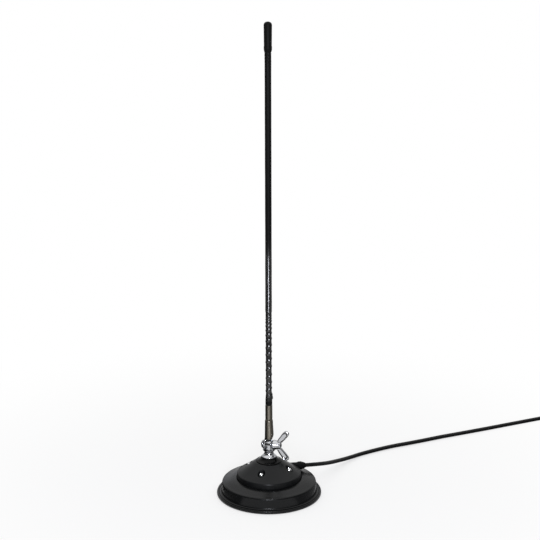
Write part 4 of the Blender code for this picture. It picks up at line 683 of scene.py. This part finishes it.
def wing(reach, spread, side):
    """One wing of the nut as a closed plate with a dished face on both sides.

    Round the outline goes a superellipse, wider at the tip; from the middle of one face to the middle of the
    other the outline is scaled out and back while the thickness rises to the rim and rolls over the edge.
    """
    angle = around(72)[None, :]
    scale = np.array([0.0, 0.35, 0.56, 0.64, 0.72, 0.80, 0.88, 0.95, 0.985, 1.0])[:, None]
    half = np.array([0.50, 0.52, 0.58, 0.72, 1.10, 1.48, 1.58, 1.36, 0.90, 0.0])[:, None]
    scale = np.vstack([scale, scale[-2::-1]])
    half = np.vstack([half, -half[-2::-1]])
    start, end = 1.6, reach
    along = (start + end) / 2 + (end - start) / 2 * powered(np.cos(angle), 0.62) * scale
    width = 2.7 + 1.5 * (along - start) / (end - start)
    across = width * powered(np.sin(angle), 0.62) * scale
    grid = np.stack([along, across, half + 0 * angle], -1)
    stand = Matrix.Translation((9.2 * MM, 0, PIVOT_Z * MM)) @ Matrix.Rotation(math.radians(90), 4, "X")
    return moved(grid, stand @ Matrix.Rotation(side * spread, 4, "Z"))


class ANTENNA_OT_wing_nut(bpy.types.Operator):
    """Wing nut: a turned hub with two flared wings, dished on both faces"""
    bl_idname = "antenna.wing_nut"
    bl_label = "Wing nut"

    def execute(self, context):
        size = context.scene.antenna_joint
        profile = eased([(2.6, 4.7, 0), (5.3, 4.7, 0.3), (6.3, 5.7, 0.6), (6.05, 7.0, 0.9), (5.1, 10.6, 0.8),
                         (4.75, 11.4, 0.6), (4.6, 14.2, 0.6), (4.1, 14.7, 0.4), (2.9, 14.7, 0.2), (2.6, 14.3, 0.2)], 6)
        grids = [turned_part(profile, 72, ON_TILT_AXIS, hollow=True)]
        grids += [(wing(size.wing_reach / MM, size.wing_spread, side), False, True) for side in (1, -1)]
        make_piece("winged_nut", grids, finish("chrome_plated_zinc", size.chrome), "wing_nut", ["wing_nut"])
        return {"FINISHED"}


# Pieces of the whip
class ANTENNA_OT_whip_ferrule(bpy.types.Operator):
    """Whip ferrule: a plated barrel that is crimped on the rod, with its top under the sleeve"""
    bl_idname = "antenna.whip_ferrule"
    bl_label = "Whip ferrule"

    def execute(self, context):
        profile = eased([(0, 121.1, 0), (3.5, 121.1, 0.3), (3.5, 113.8, 0), (4.1, 113.6, 0.1), (4.25, 113.2, 0.2),
                         (4.3, 97.2, 0.2), (4.05, 96.9, 0.15), (4.05, 96.5, 0.15), (4.3, 96.2, 0.1), (4.28, 95.8, 0.2),
                         (3.9, 95.5, 0.2), (2.9, 95.5, 0), (2.9, 83.7, 0.3), (0, 83.4, 0)], 5)
        make_piece("crimp_ferrule", [turned_part(profile, 72)],
                   finish("nickel_plated_brass", context.scene.antenna_joint.nickel), "whip",
                   ["whip_ferrule"])
        return {"FINISHED"}


def stretched_tube(base):
    """Heat-shrunk polyolefin whose smooth, glossy skin, a coat, shows only where it is stretched over the winding."""
    material = finish("heat_shrunk_polyolefin", base)
    tree = material.node_tree
    shader = tree.nodes["Principled BSDF"]
    height = object_z(tree)
    begin = ramp(tree, height, 0.118, 0.124)
    end = ramp(tree, height, 0.272, 0.335, 1.0, 0.0)
    stretched = combined(tree, "MULTIPLY", (begin, "Result"), (end, "Result"))
    old = shader.inputs["Roughness"].links[0].from_node
    rough = add_node(tree, "Mix", {"data_type": "FLOAT"}, {
        0: (stretched, "Value"), 2: (old, "Result"), 3: 0.2})
    fill(tree, shader, {"Roughness": (rough, 0), "Coat Weight": (stretched, "Value")})
    return material


class ANTENNA_OT_sleeve(bpy.types.Operator):
    """Heat-shrink sleeve: ridged over the spaced turns, smooth above them, wrinkled below the cap"""
    bl_idname = "antenna.sleeve"
    bl_label = "Heat-shrink sleeve"

    def execute(self, context):
        size = context.scene.antenna_whip
        waist, plain, rise = size.waist_radius / MM, size.sleeve_radius / MM, size.ridge_height / MM
        rows = np.r_[np.linspace(113.6, 120, 12), np.linspace(120.3, 229, 400), np.linspace(229.1, 318, 1290),
                     np.linspace(322, 516, 26), np.linspace(518, 537, 34), np.linspace(540, 556.4, 6)]

        def swell(radius, z, angle):
            """Sleeve radius: a base line by height, plus the wire's ridge, the wire's end and the wrinkles.

            The ridge falls off evenly with the height above or below the nearest turn, whose height at each
            bearing comes from the turns' heights at the front. Over the close winding the sleeve climbs over
            each turn of the wire and falls slowly to the next.
            """
            base = np.interp(
                z, [113.6, 113.9, 114.4, 120.8, 122.2, 126.6, 128.0, 227.5, 229.0, 230.5, 285, 300, 556.6],
                [3.85, 4.02, 4.1, 4.1, 4.0, 3.6, waist, waist, 3.6, plain + 0.1, plain + 0.1, plain, plain])
            turn = np.interp(z, RIDGE_FRONTS, np.arange(len(RIDGE_FRONTS)))
            pitch = np.interp(z, RIDGE_FRONTS, np.gradient(RIDGE_FRONTS))
            phase = turn - (angle - FRONT_BEARING) / TAU
            gap = (phase - np.round(phase)) * pitch
            wound = np.clip((z - 124) / 3, 0, 1) * np.clip((228.2 - z) / 1.5, 0, 1)
            broad = np.clip(0.42 * pitch, 0.8, 1.7)
            ridge = rise * broad / 1.7 * np.clip(1.1 - np.sqrt(gap ** 2 + 0.03) / broad, 0, 1) * wound
            close = np.clip((z - 229) / 1.0, 0, 1) * np.clip((318 - z) / 34, 0, 1)
            climb = np.interp((z / WINDING_PITCH - angle / TAU) % 1, [0, 0.25, 1], [-0.5, 0.5, -0.5])
            ridge = ridge + WINDING_RISE * close * climb
            away = (angle - WIRE_END_BEARING + math.pi) % TAU - math.pi
            wire_end = np.exp(-(away / 0.42) ** 2) * np.clip((130.5 - z) / 6, 0, 1) * np.clip((z - 120.6) / 1.4, 0, 1)
            near_cap = np.clip((z - 519) / 4, 0, 1) * np.clip((538 - z) / 3, 0, 1)
            folds = 0.16 * np.sin(3 * angle + z * 1.1) * np.sin(z * 0.8) + 0.10 * np.sin(5 * angle - z * 1.7 + 1.0)
            slow = 0.02 * np.sin(z * 0.11 + 2 * angle) + 0.015 * np.sin(z * 0.37 - angle)
            return base + ridge + WIRE_END_RISE * wire_end + near_cap * folds + slow * (z > 130), z

        make_piece("ridged_sleeve", [skin_part(lathe(np.column_stack([rows, rows]), 48, swell))],
                   stretched_tube(size.sleeve), "whip", ["shrink_sleeve"], weighted=False)
        return {"FINISHED"}


class ANTENNA_OT_cap(bpy.types.Operator):
    """Tip cap: a domed rubber thimble whose lip closes on the sleeve"""
    bl_idname = "antenna.cap"
    bl_label = "Tip cap"

    def execute(self, context):
        radius = context.scene.antenna_whip.cap_radius / MM
        turn = np.linspace(0, math.pi / 2, 12)
        dome = np.column_stack([radius * np.sin(turn) ** 0.9, 565.0 + 3.9 * np.cos(turn)])
        profile = np.vstack([dome, eased([
            (radius, 541.0, 0.5), (radius + 0.03, 538.8, 0.6), (radius - 0.25, 536.6, 0.7),
            (radius - 0.55, 535.2, 0.25), (3.72, 535.5, 0), (3.72, 550, 0), (0, 550, 0)], 6)])

        def swell(r, z, angle):
            """A faint oval squeeze and shallow ribs left by the mould on the upper half."""
            ribs = 0.035 * np.cos(18 * angle) * np.clip((z - 545) / 5, 0, 1) * (r > radius * 0.9)
            return r * (1 + 0.006 * np.cos(2 * angle + 0.5)) + ribs, z

        make_piece("thimble_cap", [skin_part(lathe(profile, 108, swell))],
                   finish("dipped_vinyl_cap", context.scene.antenna_whip.sleeve), "whip", ["tip_cap"])
        return {"FINISHED"}


# Cable and plug
def coil_points(per_turn):
    """Centre line of the wound cable in mm: four layers of a flat spiral, in, out, in and out again.

    The bearing turns clockwise at an even rate while the radius runs between its two limits and the height
    steps up a layer at each of them. Near the tie all turns draw together.
    """
    place = np.linspace(0, COIL_TURNS, int(COIL_TURNS * per_turn) + 1)
    bearing = math.radians(124) - TAU * place
    layer = place / (COIL_TURNS / COIL_LAYERS)
    radius = COIL_RADIUS + COIL_SPREAD * (2 * np.abs(layer % 2 - 1) - 1)
    step = np.clip((layer - np.round(layer)) / 0.05, -1, 1)
    height = CABLE_LEVEL + LAYER_HEIGHT * np.clip(np.round(layer) - 0.5 + 0.5 * step, 0, COIL_LAYERS - 1)
    away = (bearing + math.pi / 2 + math.pi) % TAU - math.pi
    tight = np.exp(-(away / 0.42) ** 2)
    radius = COIL_RADIUS + (radius - COIL_RADIUS) * (1 - 0.12 * tight)
    height = COIL_MIDDLE + (height - COIL_MIDDLE) * (1 - 0.16 * tight)
    return np.column_stack([COIL_CENTRE[0] + radius * np.cos(bearing), COIL_CENTRE[1] + radius * np.sin(bearing),
                            height])


class ANTENNA_OT_cable(bpy.types.Operator):
    """Coaxial cable: out of the gland, down over the boot, across the floor, wound in a coil, and to the plug"""
    bl_idname = "antenna.cable"
    bl_label = "Coaxial cable"

    def execute(self, context):
        size = context.scene.antenna_cable
        inside = [tuple(ON_GLAND @ Vector((0, 0, along * MM))) for along in (27.0, 35.2, 43.5, 51.9)]
        lead = even_points(inside + CABLE_ROUTE, 0.004)
        coil = coil_points(size.turns_points) * MM
        tail = even_points([tuple(coil[-1])] + TAIL_ROUTE, 0.003)
        path = np.vstack([lead[:-1], coil, tail[1:]])
        curve = bpy.data.curves.new("coaxial_cable", "CURVE")
        curve.dimensions = "3D"
        curve.bevel_depth = size.radius
        curve.bevel_resolution = 4
        curve.use_fill_caps = True
        spline = curve.splines.new("POLY")
        spline.points.add(len(path) - 1)
        spline.points.foreach_set("co", np.column_stack([path, np.ones(len(path))]).ravel())
        spline.use_smooth = True
        cable = bpy.data.objects.new("coaxial_cable", curve)
        bpy.context.scene.collection.objects.link(cable)
        curve.materials.append(finish("extruded_pvc_jacket", size.jacket))
        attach(cable, "base")
        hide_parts("cable", "cable_coil", "cable_tail")
        return {"FINISHED"}


class ANTENNA_OT_tie(bpy.types.Operator):
    """Nylon tie round the coil: a flat strap with a ratchet head and a short cut tail"""
    bl_idname = "antenna.tie"
    bl_label = "Cable tie"

    def execute(self, context):
        size = context.scene.antenna_cable
        # Strap: a flat section carried round a rounded rectangle in the plane across the bundle
        turn = around(96)
        path_y = 294.0 + 12.25 * powered(np.cos(turn), 0.5)
        path_z = COIL_MIDDLE + 9.4 * powered(np.sin(turn), 0.5)
        centre = np.stack([0 * turn + COIL_CENTRE[0], path_y, path_z], -1)
        ahead = np.roll(centre, -1, 0) - np.roll(centre, 1, 0)
        out = np.stack([0 * turn, ahead[:, 2], -ahead[:, 1]], -1)
        out /= np.linalg.norm(out, axis=1, keepdims=True)
        section = eased([(-2.4, -0.55, 0.25), (2.4, -0.55, 0.25), (2.4, 0.55, 0.25), (-2.4, 0.55, 0.25)], 3)
        wide = np.array([1.0, 0, 0])
        strap = centre[:, None] + section[None, :, :1] * wide + section[None, :, 1:] * out[:, None]
        head = stacked([(9.4, -2.9, 2.9, 1.7, 7), (9.6, -3.3, 3.3, 2.05, 7), (10.2, -3.4, 3.4, 2.15, 7),
                        (15.2, -3.4, 3.4, 2.15, 7), (15.8, -3.3, 3.3, 2.05, 7), (16.0, -2.9, 2.9, 1.7, 7)], 48)
        tail = stacked([(15.5, -2.2, 2.2, 0.5, 8), (18.9, -2.2, 2.2, 0.5, 8), (19.1, -2.0, 2.0, 0.4, 8)], 32)
        grids = [(moved(strap), True, True), skin_part(head + np.array([COIL_CENTRE[0], 280.2, 0])),
                 skin_part(tail + np.array([COIL_CENTRE[0], 279.9, 0]))]
        make_piece("strap_tie", grids, finish("moulded_nylon_tie", size.tie), "base", ["cable_tie"])
        return {"FINISHED"}


class ANTENNA_OT_gland(bpy.types.Operator):
    """Cable gland: a ribbed rubber sleeve that swells outside the cover and closes on the cable"""
    bl_idname = "antenna.gland"
    bl_label = "Cable gland"

    def execute(self, context):
        profile = eased([(2.75, 30.0, 0), (4.1, 30.0, 0.3), (4.15, 39.0, 1.0), (4.3, 41.5, 1.0), (4.95, 43.0, 0.5),
                         (5.0, 46.4, 0.6), (4.6, 47.6, 0.4), (4.25, 47.8, 0.15), (4.35, 49.2, 0.4), (3.8, 49.6, 0.15),
                         (3.9, 50.8, 0.4), (3.35, 51.1, 0.15), (3.3, 52.1, 0.3), (2.75, 52.3, 0.1)], 6)
        make_piece("strain_gland", [turned_part(profile, 72, ON_GLAND, hollow=True)],
                   finish("matt_moulded_nitrile_rubber", context.scene.antenna_base.rubber), "base", ["cable_gland"])
        return {"FINISHED"}


class ANTENNA_OT_plug(bpy.types.Operator):
    """Coaxial plug: reducer, slotted body, insulating disc, pin and knurled coupling ring"""
    bl_idname = "antenna.plug"
    bl_label = "Plug"

    def execute(self, context):
        nickel = finish("nickel_plated_plug", linear("#b9b6ae"))
        reducer = eased([(2.75, 0, 0.2), (3.9, 0, 0.3), (4.3, 0.6, 0.3), (4.3, 4.6, 0.3), (4.0, 5.0, 0.2),
                         (3.6, 5.0, 0), (3.6, 14, 0), (2.75, 14, 0)], 5)
        make_piece("cable_reducer", [turned_part(reducer, 64, ON_PLUG, hollow=True)], nickel, "base",
                   ["plug_reducer"])
        body = eased([(3.9, 5.3, 0.2), (5.3, 5.3, 0.3), (5.7, 5.9, 0.3), (5.7, 19.6, 0), (7.1, 19.6, 0.2),
                      (7.1, 21.6, 0.2), (5.7, 21.6, 0), (5.7, 29.4, 0), (5.7, 30.8, 0), (5.7, 32.3, 0.2),
                      (4.5, 32.3, 0.2), (4.5, 30.8, 0), (4.5, 29.4, 0), (4.5, 22.0, 0), (3.9, 22.0, 0)], 4)

        def slots(radius, along, angle):
            """Four slots in the nose: the end rows fall back where the bearing is near 45 degrees of a quarter."""
            near = np.abs((angle / (TAU / 4)) % 1 - 0.5) < 0.07
            return radius, np.where((along > 31.5) & near, 30.85, along)

        make_piece("nose_body", [turned_part(body, 96, ON_PLUG, slots, True)], nickel, "base", ["plug_body"])
        disc = eased([(2.05, 22.3, 0), (4.2, 22.3, 0), (4.2, 31.5, 0.3), (3.2, 31.5, 0.1), (3.1, 31.2, 0.1),
                      (2.4, 31.2, 0.1), (2.3, 31.5, 0.1), (2.05, 31.5, 0)], 4)
        make_piece("plug_disc", [turned_part(disc, 64, ON_PLUG, hollow=True)],
                   finish("moulded_phenolic_disc", linear("#d8cfb8")), "base", ["plug_insulator"])
        tip = eased([(0, 39.6, 0), (0.9, 39.6, 0.2), (1.0, 40.4, 0.1), (1.5, 40.4, 0.2), (1.95, 39.0, 0.5),
                     (1.95, 20.5, 0), (0, 20.5, 0)], 6)
        make_piece("plug_tip", [turned_part(tip, 48, ON_PLUG)], finish("silver_plated_brass", linear("#cfc6b4")),
                   "base", ["plug_pin"])
        face = np.column_stack([np.full(64, 8.9), np.linspace(18.4, 33.4, 64)])
        thread = np.linspace(35.4, 20.2, 92)
        bore = np.column_stack([7.6 - 0.16 + 0.16 * np.cos(thread * TAU / 1.0), thread])
        ring = np.vstack([eased([(6.15, 17.0, 0.2), (8.3, 17.0, 0.4), (8.85, 17.7, 0.3)], 4), face,
                          eased([(8.75, 33.7, 0.1), (8.75, 34.3, 0.1), (9.0, 34.6, 0.15), (9.0, 35.6, 0.3),
                                 (8.6, 36.0, 0.3), (7.9, 36.0, 0.2)], 4), bore,
                          eased([(7.7, 19.1, 0.1), (6.15, 19.0, 0.1)], 3)])

        def knurl(radius, along, angle):
            """Diamond knurl: two crossing spiral waves between the plain bands, coarser than real ones to show."""
            count, pitch = 44, 1.3
            band = (radius > 8.85) * np.clip((along - 18.3) / 0.5, 0, 1) * np.clip((33.5 - along) / 0.5, 0, 1)
            one, two = (np.abs((count * angle / TAU + way * along / pitch) % 1 - 0.5) for way in (1, -1))
            return radius + band * 0.36 * (one + two - 0.55), along

        make_piece("knurled_ring", [turned_part(ring, 220, ON_PLUG, knurl, True)], nickel, "coupling_ring",
                   ["coupling_ring"], sharp=60, weighted=False)
        return {"FINISHED"}


class ANTENNA_OT_inner(bpy.types.Operator):
    """Finishes of the pieces that the frame carries over, most of them hidden inside the base and the whip"""
    bl_idname = "antenna.inner"
    bl_label = "Carried-over pieces"

    def execute(self, context):
        for node, (name, code) in INNER.items():
            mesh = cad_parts[node].data
            mesh.materials.clear()
            mesh.materials.append(finish(name, linear(code)))
        return {"FINISHED"}


# Stage
class ANTENNA_OT_stage(bpy.types.Operator):
    """Floor, soft lamps, pale surroundings and the camera at the photograph's angle"""
    bl_idname = "antenna.stage"
    bl_label = "Stage"

    def execute(self, context):
        scene = context.scene
        size = scene.antenna_stage
        profile = np.array([(radius, FLOOR_Z) for radius in (0, 200, 1000, 4000, 20000)])
        make_piece("floor", [turned_part(profile, 64)], self.floor_paint(size.floor))
        self.surroundings(scene)
        for card in CARDS:
            self.card(*card)
        for lamp in LAMPS:
            self.lamp(scene, *lamp)
        data = bpy.data.cameras.new("camera")
        data.lens, data.sensor_width, data.clip_end = size.lens, 36.0, 60.0
        camera = bpy.data.objects.new("camera", data)
        scene.collection.objects.link(camera)
        camera.location, camera.rotation_euler = CAMERA_PLACE, CAMERA_TURN
        scene.camera = camera
        scene.view_settings.view_transform = "Standard"
        return {"FINISHED"}

    def card(self, name, start, end, tone, near):
        """Felt card on the floor, seen by reflections alone, which keeps the sides of shiny pieces dark.

        At every bearing between start and end it has the same closed section along the floor.
        """
        section = np.array([(near, 0.6), (900, 0.6), (4000, 0.6), (4000, 0.1), (900, 0.1), (near, 0.1)])
        bearing = np.radians(np.linspace(start, end, 24))[:, None]
        points = np.stack([section[:, 0] * np.cos(bearing), section[:, 0] * np.sin(bearing),
                           section[:, 1] + 0 * bearing], -1)
        card = make_piece(f"{name}_card", [skin_part(points)], finish(name, (tone,) * 3, "felt"))
        for kind in ("camera", "diffuse", "shadow", "transmission", "volume_scatter"):
            setattr(card, f"visible_{kind}", False)

    def floor_paint(self, base):
        """Matt white paint: diffuse for light, lifted towards white for what sees it directly or in a mirror.

        The lift is 0.6 within 0.1 m of the axis, where the floor keeps its shadow, and whole from 0.6 m outwards.
        """
        material = bpy.data.materials.new("matt_white_paint")
        material.use_nodes = True
        tree = material.node_tree
        tree.nodes.clear()
        paint = add_node(tree, "BsdfDiffuse", None, {"Color": (*base, 1)})
        glow = add_node(tree, "Emission", None, {"Color": (1, 1, 1, 1), "Strength": 1.0})
        path = add_node(tree, "LightPath")
        seen = combined(tree, "MAXIMUM", (path, "Is Camera Ray"), (path, "Is Glossy Ray"))
        place = add_node(tree, "TexCoord")
        reach = add_node(tree, "VectorMath", {"operation": "LENGTH"}, {0: (place, "Object")})
        lift = ramp(tree, (reach, "Value"), 0.1, 0.6, 0.6, 1.0)
        share = combined(tree, "MULTIPLY", (seen, "Value"), (lift, "Result"))
        both = add_node(tree, "MixShader", None, {
            0: (share, "Value"), 1: (paint, "BSDF"), 2: (glow, "Emission")})
        add_node(tree, "OutputMaterial", None, {"Surface": (both, "Shader")})
        return material

    def surroundings(self, scene):
        """A room with a white ceiling: pale behind the object and dim in front of it at eye level.

        The level rises with the sine of the elevation to the ceiling's, and below that with how far the
        direction points away from the camera's side of the room.
        """
        world = bpy.data.worlds.new("surroundings")
        scene.world = world
        world.use_nodes = True
        tree = world.node_tree
        tree.nodes.clear()
        place = add_node(tree, "TexCoord")
        split = add_node(tree, "SeparateXYZ", None, {"Vector": (place, "Generated")})
        behind = add_node(tree, "VectorMath", {"operation": "DOT_PRODUCT"}, {
            0: (place, "Generated"), 1: ROOM_REAR})
        wall = ramp(tree, (behind, "Value"), -0.2, 0.8, 0.08, 0.62)
        ceiling = ramp(tree, (split, "Z"), 0.5, 0.8)
        level = add_node(tree, "Mix", {"data_type": "FLOAT"}, {
            0: (ceiling, "Result"), 2: (wall, "Result"), 3: 1.2})
        light = add_node(tree, "Background", None, {"Color": (1, 1, 1, 1), "Strength": (level, 0)})
        add_node(tree, "OutputWorld", None, {"Surface": (light, "Background")})

    def lamp(self, scene, name, place, aim, width, height, power, tint):
        """A rectangular softbox turned to face a point."""
        data = bpy.data.lights.new(name, "AREA")
        data.shape = "RECTANGLE"
        data.size, data.size_y, data.energy, data.color = width, height, power, linear(tint)
        lamp = bpy.data.objects.new(name, data)
        scene.collection.objects.link(lamp)
        lamp.location = place
        lamp.visible_camera = False
        lamp.rotation_euler = (Vector(aim) - Vector(place)).to_track_quat("-Z", "Y").to_euler()


class ANTENNA_PT_panel(bpy.types.Panel):
    """Lists the pieces in the order in which they are made"""
    bl_idname = "ANTENNA_PT_panel"
    bl_label = "Magnetic mount antenna"
    bl_space_type = "VIEW_3D"
    bl_region_type = "UI"
    bl_category = "Antenna"

    def draw(self, context):
        column = self.layout.column(align=True)
        for operator in OPERATORS:
            column.operator(operator.bl_idname)
        for group in GROUPS:
            values = getattr(context.scene, group)
            box = self.layout.box()
            for name in values.__annotations__:
                box.prop(values, name)


GROUPS = {"antenna_base": ANTENNA_PG_base, "antenna_joint": ANTENNA_PG_joint, "antenna_whip": ANTENNA_PG_whip,
          "antenna_cable": ANTENNA_PG_cable, "antenna_stage": ANTENNA_PG_stage}
OPERATORS = [ANTENNA_OT_stage, ANTENNA_OT_plug, ANTENNA_OT_tie, ANTENNA_OT_cable, ANTENNA_OT_gland, ANTENNA_OT_boot,
             ANTENNA_OT_cover, ANTENNA_OT_screws, ANTENNA_OT_collar, ANTENNA_OT_knuckle, ANTENNA_OT_ferrule,
             ANTENNA_OT_pivot, ANTENNA_OT_wing_nut, ANTENNA_OT_whip_ferrule, ANTENNA_OT_sleeve, ANTENNA_OT_cap,
             ANTENNA_OT_inner]


def register():
    """Register the classes and hang the settings on the scene."""
    for item in [*GROUPS.values(), *OPERATORS, ANTENNA_PT_panel]:
        bpy.utils.register_class(item)
    for name, group in GROUPS.items():
        setattr(bpy.types.Scene, name, PointerProperty(type=group))


def unregister():
    """Take the settings and the classes away again."""
    for name in GROUPS:
        delattr(bpy.types.Scene, name)
    for item in reversed([*GROUPS.values(), *OPERATORS, ANTENNA_PT_panel]):
        bpy.utils.unregister_class(item)


def main():
    """Register the classes, then make the stage and every piece in order."""
    register()
    for operator in OPERATORS:
        getattr(bpy.ops.antenna, operator.bl_idname.split(".")[1])()
    bpy.context.view_layer.update()


if __name__ == "__main__":
    main()
